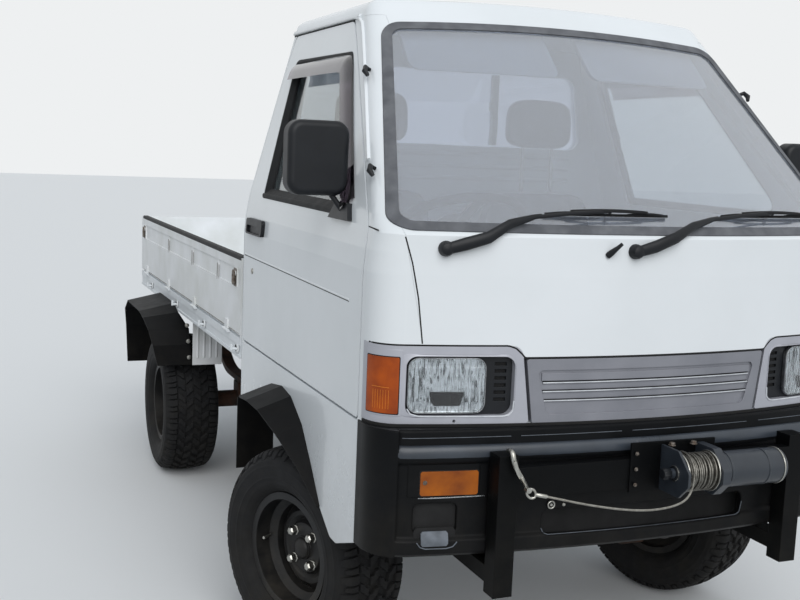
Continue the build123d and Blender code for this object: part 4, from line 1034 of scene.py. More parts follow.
@dataclass(frozen=True)
class PhotoCamera:
    """The camera of the photograph: where it stood, and how it was held.

    Args:
        place: its place in drawing millimetres.
        heading: degrees to the right of straight to the rear.
        pitch: degrees below level.
        roll: degrees that it leans.
        lens: focal length on a sensor 36 mm wide.
    """

    place: Place = (-1585.4, -2938.6, 1417.5)
    heading: float = 22.399
    pitch: float = 7.682
    roll: float = 2.3
    lens: float = 49.968

    def build(self, shop: Workshop) -> None:
        """Sets the scene's camera: its directions are the heading's, pitched, then rolled."""
        h, p, r = radians(self.heading), radians(self.pitch), radians(self.roll)
        ahead = Vector((sin(h) * cos(p), cos(h) * cos(p), -sin(p)))
        level = Vector((cos(h), -sin(h), 0))
        right = level * cos(r) + level.cross(ahead) * sin(r)
        up = right.cross(ahead)
        data = bpy.data.cameras.new("camera")
        data.lens, data.sensor_width = self.lens, 36.0
        camera = new_object("camera", data)
        turn = Matrix((right, up, -ahead)).transposed().to_4x4()
        camera.matrix_world = Matrix.Translation(shop.metres(np.array(self.place))) @ turn
        bpy.context.scene.camera = camera


@dataclass(frozen=True)
class Studio:
    """Plain pale floor and overcast light.

    Args:
        floor: colour of the floor as the camera sees it.
        ground: colour of the floor as its light sees it, which throws little back up.
        sky: colour behind the truck.
        cloud: colour of the light from all round.
        ambient: strength of the light from all round.
        sun: strength of the soft key light.
    """

    floor: str = "#E3E4E4"
    ground: str = "#9A9A98"
    sky: str = "#EEF0F1"
    cloud: str = "#DCE4EC"
    ambient: float = 0.62
    sun: float = 2.0

    def build(self) -> None:
        """Makes the world, the key light and the floor."""
        scene = bpy.context.scene
        scene.view_settings.view_transform = "Standard"
        world = bpy.data.worlds.new("overcast")
        scene.world = world
        world.use_nodes = True
        tree = world.node_tree
        tree.nodes.clear()
        seen = self.seen_rays(tree)
        ambient = add_node(tree, "ShaderNodeBackground", {0: to_linear(self.cloud), 1: self.ambient})
        backdrop = add_node(tree, "ShaderNodeBackground", {0: to_linear(self.sky), 1: 1.0})
        mixed = add_node(tree, "ShaderNodeMixShader",
                         {0: seen, 1: ambient.outputs[0], 2: backdrop.outputs[0]})
        add_node(tree, "ShaderNodeOutputWorld", {0: mixed.outputs[0]})
        self.light("key", (-0.2, -1.0, 0.75), self.sun, 55)
        self.lay_floor()

    def seen_rays(self, tree: Tree) -> Socket:
        """One for camera, glossy and transmission rays."""
        path = add_node(tree, "ShaderNodeLightPath").outputs
        seen = path["Is Camera Ray"]
        for ray in ("Is Glossy Ray", "Is Transmission Ray"):
            seen = add_node(tree, "ShaderNodeMath", {0: seen, 1: path[ray]}, operation="MAXIMUM").outputs[0]
        return seen

    def light(self, name: str, towards: Place, strength: float, spread: float) -> None:
        """Adds a soft sun that stands in a direction."""
        lamp = bpy.data.lights.new(name, "SUN")
        lamp.energy, lamp.angle = strength, radians(spread)
        holder = new_object(name, lamp)
        holder.rotation_mode = "QUATERNION"
        holder.rotation_quaternion = Vector(towards).to_track_quat("Z", "Y")

    def lay_floor(self) -> None:
        """Floor that is pale to the eye but throws little light back up."""
        mesh = bpy.data.meshes.new("floor")
        reach = 40.0
        mesh.from_pydata([(-reach, -reach, 0), (reach, -reach, 0), (reach, reach, 0), (-reach, reach, 0)],
                         [], [(0, 1, 2, 3)])
        floor = new_object("floor", mesh)
        material = bpy.data.materials.new("pale_floor")
        material.use_nodes = True
        tree = material.node_tree
        tone = add_node(tree, "ShaderNodeMix", {0: self.seen_rays(tree), 6: to_linear(self.ground),
                                                7: to_linear(self.floor)}, data_type="RGBA")
        feed(tree, tree.nodes["Principled BSDF"], {"Base Color": tone.outputs[2], "Roughness": 0.85})
        mesh.materials.append(material)


# Winch and its wire rope


@dataclass
class WinchRope:
    """Wire rope from the drum to the hook on the guard's right bar, and the turns on the drum.

    Args:
        diameter: of the rope.
        strands: outer strands laid round it.
        lay: length of one full twist.
        axis_y: y of the drum's axis.
        axis_z: height of the axis.
        drum_x: ends of the drum.
        layers: radius, turns, first angle and pitch of each layer on the drum.
        route: the rope's route.
    """

    diameter: float = 5.0
    strands: int = 6
    lay: float = 34.0
    axis_y: float = -842.783
    axis_z: float = 690.0
    drum_x: tuple[float, float] = (2.0, 92.0)
    layers: tuple[tuple[float, int, float, float], ...] = ((38.5, 13, 0.0, 5.5), (43.2, 8, 1.1, 9.5))
    route: tuple[Place, ...] = (
        (14, -891.6, 706), (13, -892.1, 682), (8, -893.1, 660), (-4, -894.6, 643), (-26, -894.6, 632),
        (-60, -892.6, 625), (-104, -887.6, 622), (-150, -881.6, 625), (-196, -874.6, 631),
        (-241, -867.6, 639), (-284, -860.6, 648), (-322, -853.6, 657), (-350, -847.6, 663),
    )

    def centreline(self, shop: Workshop) -> Array:
        """Smooth line of the rope, read from a NURBS spline through the route, in millimetres."""
        curve = bpy.data.curves.new("rope_line", "CURVE")
        curve.dimensions = "3D"
        curve.resolution_u = 16
        spline = curve.splines.new("NURBS")
        spline.points.add(len(self.route) - 1)
        for point, place in zip(spline.points, shop.metres(np.array(self.route))):
            point.co = (*place, 1.0)
        spline.order_u = 3
        spline.use_endpoint_u = True
        holder = bpy.data.objects.new("rope_line", curve)
        mesh = bpy.data.meshes.new_from_object(holder)
        line = np.array([vertex.co for vertex in mesh.vertices], float)
        bpy.data.objects.remove(holder)
        bpy.data.meshes.remove(mesh)
        return line

    def twisted(self, line: Array) -> Shell:
        """Strands that wind round a line: strand centre = line + a circle that turns once a lay."""
        core = self.diameter / 2
        strand = core * 0.36
        run = run_of(line)[-1]
        even = np.linspace(0, run, max(int(run / 2.2), 12))
        line = evenly(line, len(even))
        tangent = unit(np.gradient(line, axis=0))
        guide = np.array([0.0, 1.0, 0.0])
        first = unit(np.cross(tangent, guide) + 1e-9)
        second = np.cross(tangent, first)
        shells = [tube(line, core - strand, 6, guide=guide)]
        for k in range(self.strands):
            turn = (2 * pi * (even / self.lay + k / self.strands))[:, None]
            path = line + (core - strand) * (np.cos(turn) * first + np.sin(turn) * second)
            shells.append(tube(path, strand, 6, guide=guide))
        return merged(shells)

    def wound(self, x: Array, angle: Array, radius: float | Array) -> Shell:
        """Rope round the drum's axis: at x, and radius away from the axis at each angle."""
        line = np.column_stack([x, self.axis_y + radius * np.cos(angle),
                                self.axis_z + radius * np.sin(angle)])
        return tube(line, self.diameter / 2, 8, guide=(1, 0, 0))

    def turns(self) -> Shell:
        """Rope wound on the drum: a helix in two layers, and a last turn that climbs to the lead."""
        x0, x1 = self.drum_x
        lead = self.route[0]
        rise_y, rise_z = lead[1] - self.axis_y, lead[2] - self.axis_z
        parts = []
        for radius, count, phase, spread in self.layers:
            angle = np.linspace(0, 2 * pi * count, 36 * count) + phase
            wander = 1.6 * np.sin(angle * 0.37 + phase) + 0.9 * np.sin(angle * 1.3)
            x = x1 - 8 - spread * (angle - phase) / (2 * pi) + wander
            parts.append(self.wound(np.clip(x, x0 + 5, x1 - 6), angle, radius))
        end = np.arctan2(rise_z, rise_y)
        outer = self.layers[-1][0]
        parts.append(self.wound(np.linspace(26, lead[0], 48), np.linspace(end - 1.6 * pi, end, 48),
                                np.linspace(outer, np.hypot(rise_y, rise_z), 48)))
        return merged(parts)

    def drum(self) -> Shell:
        """Core of the drum with a flange at each end."""
        x0, x1 = self.drum_x
        centre = (x0, self.axis_y, self.axis_z)
        width = x1 - x0
        profile = [(14.1, 0), (48.5, 0), (49, 1), (49, 3), (48.5, 4), (36, 4), (36, width - 4),
                   (48.5, width - 4), (49, width - 3), (49, width - 1), (48.5, width), (14.1, width)]
        return lathe(profile, centre, (1, 0, 0), 64, hollow=True)

    def eye_of(self, line: Array) -> Array:
        """Middle of the eye at the rope's end."""
        return line[-1] + unit(line[-1] - line[-5]) * 37

    def thimble(self, line: Array) -> Shell:
        """Pressed ferrule at the rope's end, and the ring that it holds."""
        end, way, eye = line[-1], unit(line[-1] - line[-5]), self.eye_of(line)
        ferrule = tube(end + way * np.array([[-2.0], [2.0], [22.0], [26.0]]),
                       np.array([3.2, 4.8, 4.8, 3.2]), 12)
        return ferrule + upright_ring(eye, way, 10.5, 3.0, 32, 10)

    def hook(self, line: Array) -> Shell:
        """Forged hook over the bar: a pin in the ring, a shank that thickens, and a point behind
        the bar, smoothed by a moving average over its corners."""
        pin = self.eye_of(line) + (-9, 0, 9)
        shank = np.array([pin, (-384, -795, 690), (-396, -792, 708), (-404, -790, 726), (-408, -789.5, 741),
                          (-408, -786, 750), (-408, -778, 753), (-408, -766, 752), (-408, -756, 749.5)])
        fine = np.linspace(0, 1, 40)
        even = np.linspace(0, 1, len(shank))
        path = np.column_stack([np.interp(fine, even, values) for values in shank.T])
        path = smoothed(np.vstack([np.repeat(path[:1], 2, 0), path, np.repeat(path[-1:], 2, 0)]), 5)
        radius = np.interp(fine, [0, 0.1, 0.45, 0.8, 1], [4.5, 5.2, 6.6, 5.6, 2.6])
        return tube(path, radius, 14, guide=(1, 0.2, 0)) + rod(pin - (0, 7, 0), pin + (0, 7, 0), 6.5)

    def latch(self) -> Shell:
        """Sprung latch: a narrow strip from the shank towards the point."""
        line = np.array([(-391, -800, 694), (-399, -802, 706), (-406, -803, 720), (-410, -802, 734)], float)
        section = np.array([(-4.5, -0.8), (4.5, -0.8), (4.5, 0.8), (-4.5, 0.8)])
        return sweep(line, section, (0, -1, 0))

    def build(self, shop: Workshop) -> None:
        """Makes the rope, the hook and the drum."""
        line_m = self.centreline(shop)
        line = shop.millimetres(line_m)
        rope = shop.add("winch_rope", self.twisted(line), WIRE_ROPE, CHASSIS, "rope_steel",
                        ["winch_cable"])
        thimble = shop.add("rope_thimble", self.thimble(line), GALVANISED, CHASSIS, "rope_steel")
        shop.add("rope_hook", self.hook(line) + self.latch(), GALVANISED, CHASSIS, "rope_steel",
                 ["winch_hook"])
        LOG.info("rope length %.3f m", run_of(line_m)[-1])
        shop.add("drum_turns", self.turns(), GREASED_ROPE, CHASSIS, "rope_steel")
        shop.add("drum_core", self.drum(), GALVANISED, CHASSIS, "drum_steel", ["winch_drum"])


# Wheels


@dataclass(frozen=True)
class TreadBlock:
    """One block of the tread, drawn as rows across the tyre.

    Args:
        rows: (distance from the middle along the tread, start, end), the last two in shares of a
            pitch along the tyre.
        shift: share of a pitch by which the block's column is moved on the other half.
    """

    rows: tuple[tuple[float, float, float], ...]
    shift: float = 0.5


@dataclass(frozen=True)
class Tyre:
    """Off-road tyre: a carcass turned about the axle, with blocks standing on it.

    Args:
        radius: at the middle of the tread.
        half: half its width.
        bead: radius of its inner edge.
        bead_half: half the width there.
        depth: of the grooves.
        pitches: repeats of the blocks round the tyre.
        blocks: one column of blocks each.
    """

    radius: float = 296.0
    half: float = 113.0
    bead: float = 152.5
    bead_half: float = 79.0
    depth: float = 10.0
    pitches: int = 36
    blocks: tuple[TreadBlock, ...] = (
        TreadBlock(((2.5, 0.02, 0.46), (14, 0.10, 0.60), (19, 0.30, 0.72), (30, 0.36, 0.86))),
        TreadBlock(((34, 0.98, 1.42), (45, 0.86, 1.30), (50, 0.70, 1.16), (62, 0.62, 1.04))),
        TreadBlock(((66, 0.12, 0.58), (78, 0.16, 0.66), (90, 0.16, 0.66), (100, 0.18, 0.64),
                    (110, 0.20, 0.60), (120, 0.24, 0.56))),
        TreadBlock(((68, 0.70, 1.02), (80, 0.76, 1.06), (90, 0.76, 1.06), (100, 0.78, 1.04),
                    (107, 0.8, 1.02))),
    )

    def outline(self) -> Array:
        """Half section from the middle of the tread to the bead, as (across, radius), evenly
        spaced and rounded by a moving average that pulls it inwards."""
        corners = np.array([(0, self.radius), (50, self.radius - 4), (91, self.radius - 10),
                            (109, self.radius - 34), (self.half, 238), (110, 205), (99, 181),
                            (self.bead_half + 6, 172), (self.bead_half - 1, self.bead + 14),
                            (self.bead_half - 6, self.bead)], float)
        line = evenly(corners, 120)
        window = 9
        mirrored_start = line[1:window // 2 + 1][::-1] * (-1, 1)
        return smoothed(np.vstack([mirrored_start, line, np.repeat(line[-1:], window // 2, 0)]), window)

    def on_tread(self, along: Array, across: Array, height: Array, side: int) -> Array:
        """Points at an arc along the tyre, a distance across it along its outline, and a height
        square to the outline, in the wheel's own frame with X on the axle."""
        line = self.outline()
        x, r, nx, nr = (np.interp(across, run_of(line), values) for values in (*line.T, *square_to(line).T))
        x, r = x + nx * height, r + nr * height
        angle = along / self.radius
        return np.stack([side * x, r * np.cos(angle), r * np.sin(angle)], -1)

    def column(self, block: TreadBlock, side: int) -> Shell:
        """All copies of a block round one half of the tyre.

        A block is a loop down its start and back up its end, at three levels: a spread foot in
        the groove, the wall's top, and the tread surface drawn in a little, with quads between
        its rows on top.
        """
        rows = np.array(block.rows)
        pitch = 2 * pi * self.radius / self.pitches
        loop = np.vstack([rows[:, [0, 1]], rows[::-1][:, [0, 2]]])
        middle = loop.mean(0)
        flat = np.column_stack([loop[:, 1] * pitch, loop[:, 0]])
        centre = np.array([middle[1] * pitch, middle[0]])
        away = unit(flat - centre)
        levels = [flat + away * 1.5, flat, flat - away * 1.2]
        heights = [-self.depth - 1.0, -1.3, 0.0]
        start = np.arange(self.pitches) * pitch + (block.shift * pitch if side < 0 else 0)
        along = np.stack([level[:, 0] for level in levels])[None] + start[:, None, None]
        across = np.broadcast_to(np.stack([level[:, 1] for level in levels])[None], along.shape)
        height = np.broadcast_to(np.array(heights)[None, :, None], along.shape)
        points = self.on_tread(along, np.maximum(across, 0.5), height, side)
        count, n = len(rows), len(loop)
        ring = np.arange(n)
        ahead = np.roll(ring, -1)
        walls = [np.stack([ring, ahead, ahead + n, ring + n], -1) + k * n for k in range(2)]
        first = np.arange(count - 1)
        top = np.stack([first, first + 1, n - 2 - first, n - 1 - first], -1) + 2 * n
        base = np.vstack([*walls, top])
        every = (base[None] + (np.arange(self.pitches) * 3 * n)[:, None, None]).reshape(-1, 4)
        shell = Shell(points.reshape(-1, 3), [every])
        return shell if side < 0 else Shell(shell.points, [every[:, ::-1]])

    def carcass(self) -> Shell:
        """Turned body: the outline sunk to the groove floor under the tread, with rings on its
        sidewall, down to the bead and back along the inside."""
        line = self.outline()
        run = run_of(line)
        sink = self.depth * np.interp(run, [0, 96, 124, 400], [1, 1, 0, 0])
        for at, width, rise in ((140, 3, 1.2), (172, 2.5, 1.4), (190, 4, 1.2)):
            sink = sink - rise * np.exp(-((run - at) / width) ** 2)
        sunk = line - square_to(line) * sink[:, None]
        inner = np.array([(self.bead_half - 8, self.bead), (self.bead_half - 14, 200), (0, 210)])
        half = np.vstack([sunk, inner])
        whole = np.vstack([half, (half * (-1, 1))[-2:0:-1]])
        return lathe(whole[:, ::-1], (0, 0, 0), (1, 0, 0), 144, hollow=True)

    def build(self) -> Shell:
        """The whole tyre about X at the origin."""
        columns = [self.column(block, side) for block in self.blocks for side in (-1, 1)]
        return merged([self.carcass(), *columns])


@dataclass
class Wheels:
    """Tyres and the small pieces on the rims, placed by the wheels' spin joints.

    Args:
        tyre: the tyre, about its own axle.
        nut_circle: radius of the circle of the four nuts.
        nut_face: distance outwards of the face that the nuts stand on.
    """

    tyre: Tyre = field(default_factory=Tyre)
    nut_circle: float = 57.0
    nut_face: float = 26.0

    def build(self, shop: Workshop) -> None:
        """Makes the four wheels' pieces."""
        local = self.tyre.build()
        for joint in shop.frame["joints"]:
            if not joint["name"].startswith("spin_"):
                continue
            side = Side.RIGHT if joint["name"].endswith("right") else Side.LEFT
            place = "_".join(joint["name"].split("_")[1:])
            axle = np.asarray(joint["axis"], float)
            centre = shop.millimetres(np.array(joint["pos_m"]))
            rotation = np.column_stack([axle, np.cross((0, 0, 1), axle), (0, 0, 1)])
            outward = axle * side.value
            for name, shell, finish, slot, nodes in (
                    ("tread_tyre_", local.turned(rotation).moved(centre), TYRE_RUBBER, "tyre_rubber",
                     ["tyre_" + place]),
                    ("wheel_nuts_", self.nuts(centre, outward), GALVANISED, "rope_steel", []),
                    ("hub_cap_", self.hub(centre, outward), WHEEL_PAINT, "black_paint", [])):
                shop.add(name + place, shell, finish, joint["child"], slot, nodes)

    def nuts(self, centre: Array, outward: Array) -> Shell:
        """Four nuts on the diagonals, and the valve."""
        u, v, w = axes_of(outward)
        parts = []
        for turn in (45, 135, 225, 315):
            way = cos(radians(turn)) * u + sin(radians(turn)) * v
            seat = centre + self.nut_circle * way + w * (self.nut_face + 2)
            parts.append(lathe([(0, -1.6), (15.5, -1.6), (15.5, 0), (13.1, 1.5), (13, 16), (9.5, 20),
                                (0, 20.5)], seat, w, 6))
        foot = centre + 138 * u + w * 42
        parts.append(tube(np.array([foot, foot + w * 16 - u * 4, foot + w * 30 - u * 8]), 4.2, 8))
        return merged(parts)

    def hub(self, centre: Array, outward: Array) -> Shell:
        """Pressed hub cap: a low dome over the middle of the wheel."""
        angle = np.linspace(0, pi / 2, 10)
        dome = [(31 * cos(a), 33 + 17 * sin(a)) for a in angle]
        return lathe([(0, 30), (33, 30), (33, 33), *dome], centre, outward, 40)


# Windows, seams and the cab's trim


@dataclass
class CabTrim:
    """Seals, frames, seams and fittings on the cab's skin.

    Args:
        window: outline of the door's window in y, z.
        rubber: width of the window's rubber frame.
        pane_depth: how far the pane lies below the skin.
        crease_y: ends of the crease below the handle.
        crease_z: its height at each end.
        lock: y and z of the lock.
    """

    window: tuple[Corner, ...] = ((-418, 1256, 45), (400, 1260, 25), (436, 1468, 200), (466, 1682, 25),
                                  (-62, 1676, 40))
    rubber: float = 24.0
    pane_depth: float = 19.7
    crease_y: tuple[float, float] = (-452, 556)
    crease_z: tuple[float, float] = (1057, 1067)
    lock: tuple[float, float] = (458, 1021)

    def window_rubber(self) -> Shell:
        """Rubber frame that slopes from the skin down to the pane."""
        rings = [(0.3, -self.pane_depth), (0.3, 1.0), (2, 2.2), (7, 2.2), (10, 0.5), (self.rubber, -12),
                 (self.rubber, -self.pane_depth)]
        return ring_shell(self.window, rings, ON_SIDE, closed=True, steps=8)

    def belt_strip(self) -> Shell:
        """Wiper strip along the foot of the window."""
        return bead(ON_SIDE, [-395, 404], [1258, 1262], 15, 4.5, 20)

    def visor(self) -> Shell:
        """Smoked rain guard along the top and front of the window: a thin bent sheet that stands
        off the pane, carried along the window's edge."""
        legs = np.array([(-398, 1300), (-250, 1462), (-120, 1610), (-96, 1640), (-66, 1664), (-20, 1668),
                         (100, 1669), (452, 1668)], float)
        edge = evenly(legs, 60)
        inward = -square_to(edge)
        section = [(0.0, 2.5), (10.0, 12.0), (26.0, 17.0), (48.0, 18.0), (48.0, 15.8), (26.0, 14.8),
                   (11.0, 9.8), (2.0, 0.5)]
        rows = []
        for across, height in section:
            rows.append(rest_on(ON_SIDE, *(edge + inward * across).T, height))
        return grid_shell(np.array(rows).transpose(1, 0, 2), wrap_columns=True, cap=True).outward()

    def seams(self) -> Shell:
        """Dark joints between the pressed panels."""
        front_line = bead(ON_FRONT, [-633, -616, -600, -587], [1226, 1167, 1088, 984], 3.4, 0.5, 30)
        over_lamps = bead(ON_FRONT, [-690, -560, -386, -368, -352, -345, 0],
                          [980, 980, 980, 974, 960, 951.5, 951.5], 4, 0.4, 120)
        pillar = bead(ON_SIDE, [-536, -600], [1240, 1236], 3.4, 0.5, 8)
        return front_line + over_lamps + pillar

    def belt_line(self) -> Shell:
        """Crease below the door handle, as a shallow rolled edge."""
        return bead(ON_SIDE, self.crease_y, self.crease_z, 5, 1.2, 30)

    def belt_shadow(self) -> Shell:
        """Dark line under the crease."""
        return bead(ON_SIDE, self.crease_y, [z - 3.4 for z in self.crease_z], 2.2, 0.7, 30)

    def gutter(self) -> Shell:
        """Rolled drip channel over the door and down the windscreen pillar."""
        return bead(ON_SIDE, [572, 300, 0, -40, -75, -105, -250, -420],
                    [1771, 1771, 1771, 1766, 1750, 1722, 1573, 1392], 9, 7, 70)

    def gutter_shadow(self) -> Shell:
        """Dark channel above the roll of the gutter."""
        return bead(ON_SIDE, [572, 300, 0], [1764, 1764, 1764], 4, 1.0, 30)

    def pillar_hooks(self) -> Shell:
        """Two small black brackets on the windscreen pillar."""
        parts = []
        for y, z in ((-214.0, 1617.0), (-452.0, 1372.0)):
            foot = rest_on(ON_SIDE, y - 22, z)
            way = np.array([(0, 0, 0), (-14, -4, 6), (-20, -16, -4), (-14, -24, -16)])
            parts.append(tube(foot + way, np.array([5.0, 6.5, 7.5, 5.0]), 10, guide=(1, 0, 0)))
        return merged(parts)

    def keyhole(self) -> Shell:
        """Lock barrel under the handle."""
        return lathe([(0, -1), (9, -1), (9, 2), (7, 3), (2.5, 3), (2.5, 1.5), (0, 1.5)],
                     rest_on(ON_SIDE, *self.lock), (-1, 0, 0), 24)

    def build(self, shop: Workshop) -> None:
        """Makes the cab's trim."""
        doors = ("right_door", "left_door")
        for name, shell, finish, slot in (
                ("window_rubber", self.window_rubber(), FRAME_RUBBER, "seal_rubber"),
                ("belt_strip", self.belt_strip(), FRAME_RUBBER, "seal_rubber"),
                ("rain_guard", self.visor(), SMOKED_ACRYLIC, None),
                ("belt_crease", self.belt_line(), CAB_PAINT, "white_paint"),
                ("crease_shadow", self.belt_shadow(), DEEP_BLACK, None),
                ("lock_barrel", self.keyhole(), GALVANISED, None)):
            shop.add_pair(name, shell, finish, doors, slot=slot)
        shop.add_rows((("panel_seams", self.seams(), DEEP_BLACK),
                       ("drip_gutters", self.gutter(), CAB_PAINT, "white_paint"),
                       ("gutter_shadows", self.gutter_shadow(), DEEP_BLACK),
                       ("pillar_brackets", self.pillar_hooks(), DARK_PLASTIC, "black_plastic")),
                      mirrored=True)


# Lamps and the plastic front


@dataclass
class Lamps:
    """Headlamps, indicators and bumper lamps.

    Args:
        lens: x and z limits of a headlamp's lens.
        corner: radius of its corners.
        flute: width of one flute of its glass.
        bulb_x: x of the bulb and its hood.
        hood_box: x and z limits of the hood.
        pocket: x and z limits of the pocket round the lens and the vents.
        opening: x and z limits of the opening that the bezel has in the solids.
        vent: x and z limits of the space behind the six slots.
        indicator: limits of the indicator along the corner's arc and in z.
        bezel: the same limits of the bezel's face round it.
        bumper_lamp: x and z limits of a bumper lamp.
        blank: x and z limits of the field that closes its opening.
    """

    lens: Box = (-615, -437, 822, 950)
    corner: float = 24.0
    flute: float = 8.0
    bulb_x: float = -524.0
    hood_box: Box = (-566, -484, 838, 870)
    pocket: Box = (-620, -368, 815, 954)
    opening: Box = (-641, -365.5, 813.5, 960)
    vent: Box = (-416, -376, 840, 946)
    indicator: Box = (22, 105, 820, 951)
    bezel: Box = (14, 113, 814, 969)
    bumper_lamp: Box = (-594, -457, 637, 694)
    blank: Box = (-624, -452, 632, 713)

    def bulge(self, u: Array, v: Array) -> Array:
        """From 0 at the lens's edge to 1 in its middle: the root of two parabolas' product."""
        u0, u1, v0, v1 = self.lens
        across, up = 2 * (u - u0) / (u1 - u0) - 1, 2 * (v - v0) / (v1 - v0) - 1
        return np.sqrt(np.clip((1 - across ** 2) * (1 - up ** 2), 0, 1))

    def glass(self) -> Shell:
        """Lens: domed and smooth outside, with upright flutes inside that are wider in the upper
        field and lean a little in the lower one."""
        def outside(u: Array, v: Array) -> Array:
            """Height of the dome."""
            return -3.0 + 3.2 * self.bulge(u, v) ** 1.5

        def inside(u: Array, v: Array) -> Array:
            """Dome less the glass, with a wave for the flutes."""
            lower = np.sin(2 * pi * (u + 0.06 * (v - 880)) / self.flute)
            upper = np.sin(2 * pi * u / (1.6 * self.flute) + 0.7)
            wave = np.where(v > 908, upper * 0.7, lower)
            return outside(u, v) - 3.4 + 0.75 * wave * np.clip(self.bulge(u, v) * 3, 0, 1)

        return slab(ON_FRONT, self.lens, self.corner, outside, inside, 220, 40)

    def bowl(self) -> Shell:
        """Reflector: a shallow bowl with flat steps above and below the bulb."""
        def front(u: Array, v: Array) -> Array:
            """Height of the bowl's face."""
            step = 1.0 * np.tanh((v - 928) / 2) - 1.0 * np.tanh((v - 846) / 2)
            return -8.6 - 3.6 * self.bulge(u, v) - 0.5 * step

        return slab(ON_FRONT, self.lens, self.corner, front, -14.0, 80, 60)

    def hood(self) -> Shell:
        """Dark hood in front of the bulb, wider at its top."""
        def sloped(u: Array, v: Array, height: Array) -> Array:
            """Front surface with the hood's ends drawn in towards its foot."""
            share = 0.8 + 0.2 * (v - 840) / 32
            return ON_FRONT(self.bulb_x + (u - self.bulb_x) * share, v, height)

        return slab(sloped, self.hood_box, 4, -7.0, -8.4, 20, 8)

    def rim(self) -> Shell:
        """Plated rim round the lens."""
        rings = [(-1.8, -13), (-1.8, -2.6), (-0.8, -1.0), (0.4, -1.0), (1.2, -2.2), (1.2, -6), (0.2, -13)]
        return ring_shell(rounded_box(*self.lens, self.corner), rings, ON_FRONT, closed=True, steps=8)

    def pocket_lip(self) -> Shell:
        """Face of the bezel beside the pocket, with a rolled inner edge: rings from the drawn
        opening's outline to the pocket's."""
        outer, inner = rounded_box(*self.opening, 27), rounded_box(*self.pocket, 25)
        rings = [(outer, -1.0), (outer, 0.5), (inset(inner, -3), 0.6), (inset(inner, -1), 1.2),
                 (inner, 0.2), (inner, -13.8), (inset(inner, -3), -13.8)]
        rows = [rest_on(ON_FRONT, *rounded(corners, 8).T, height) for corners, height in rings]
        return grid_shell(np.array(rows), wrap_rows=True, wrap_columns=True).outward()

    def pocket_edge(self) -> Shell:
        """Rolled edge along the pocket's foot and round its inner corner, painted bright as a highlight."""
        return bead(ON_FRONT, [-616, -608, -590, -394, -378, -369, -367],
                    [832, 820, 814.5, 813.5, 816, 826, 850], 3.6, 1.9, 60)

    def vents(self) -> Shell:
        """Painted shade: a dark plate for the space behind the pocket's six slots."""
        return slab(ON_FRONT, self.vent, 2, -19.85, -20.2, 6, 6)

    def corner_plate(self, margin: float, low: float, high: float) -> Shell:
        """Plate round the corner, larger than the indicator by a margin."""
        return slab(ON_CORNER, grown(self.indicator, margin), 3, high, low, 40, 8)

    def bezel_patch(self) -> Shell:
        """Bezel's face round the indicator."""
        return slab(ON_CORNER, self.bezel, 2, 0.5, -2.5, 40, 8)

    def indicator_ribs(self) -> Shell:
        """Seam across the indicator, and upright ribs in its lower field."""
        ribs = [bead(ON_CORNER, [u, u], [830, 874], 1.6, 2.7, 6) for u in np.arange(44, 84, 6.5)]
        return merged([bead(ON_CORNER, [40, 84], [881, 880], 1.8, 2.8, 14), *ribs])

    def bumper_plate(self, margin: float, low: float, high: float) -> Shell:
        """Plate on the bumper's field, larger than its lamp by a margin."""
        return slab(ON_FIELD, grown(self.bumper_lamp, margin), 4, high, low, 24, 8)

    def lamp_blank(self) -> Shell:
        """Bumper's field round the lamp, which closes the drawn opening."""
        return slab(ON_FIELD, self.blank, 3, -8.2, -14, 24, 8)

    def lamp_screw(self) -> Shell:
        """Cross-headed screw at the bumper lamp's outer end, in a shallow boss."""
        place = rest_on(ON_FIELD, self.bumper_lamp[0] + 11, 668, -5)
        return lathe([(0, -2), (5.5, -2), (5.2, 0.8), (3.6, 1.0), (3.4, 0.3), (0, 0.6)], place,
                     (-0.15, -1, 0), 24)

    def build(self, shop: Workshop) -> None:
        """Makes the lamps' pieces."""
        shop.add_pair("headlamp_glass", self.glass(), FLUTED_GLASS, slot="clear_lens")
        shop.add_rows((
            # Painted reflections: bright and dark streaks in the bowl.
            ("lamp_reflectors", self.bowl(), REFLECTOR, None, ["headlamps"]),
            ("bulb_hoods", self.hood(), DEEP_BLACK, "black_plastic"),
            # Painted highlight on the pocket's rolled edge.
            ("pocket_edges", self.pocket_edge(), EDGE_HIGHLIGHT, "grey_trim"),
            ("lamp_rims", self.rim(), PLATED_RIM),
            ("pocket_lips", self.pocket_lip(), GREY_TRIM, "grey_trim"),
            ("bezel_patches", self.bezel_patch(), GREY_TRIM, "grey_trim"),
            # Painted shade behind the vents.
            ("vent_backs", self.vents(), DEEP_BLACK),
            ("indicator_frames", self.corner_plate(2.2, -1.0, 1.2), DEEP_BLACK),
            ("indicator_lenses", self.corner_plate(0.0, 0.6, 2.2), AMBER_SHELL, "amber_lens",
             ["indicators"]),
            # Painted highlight on the indicator's ribs.
            ("indicator_ribs", self.indicator_ribs(), AMBER_RIB, "amber_lens"),
            ("bumper_lamp_blanks", self.lamp_blank(), BUMPER_PLASTIC, "black_plastic"),
            ("bumper_lamp_frames", self.bumper_plate(2.2, -9.0, -7.4), DEEP_BLACK),
            ("bumper_lamp_lenses", self.bumper_plate(0, -9.0, -5.2), LAMP_AMBER, "amber_lens",
             ["bumper_lamps"]),
            ("bumper_lamp_screws", self.lamp_screw(), RUSTY_ZINC),
        ), mirrored=True)


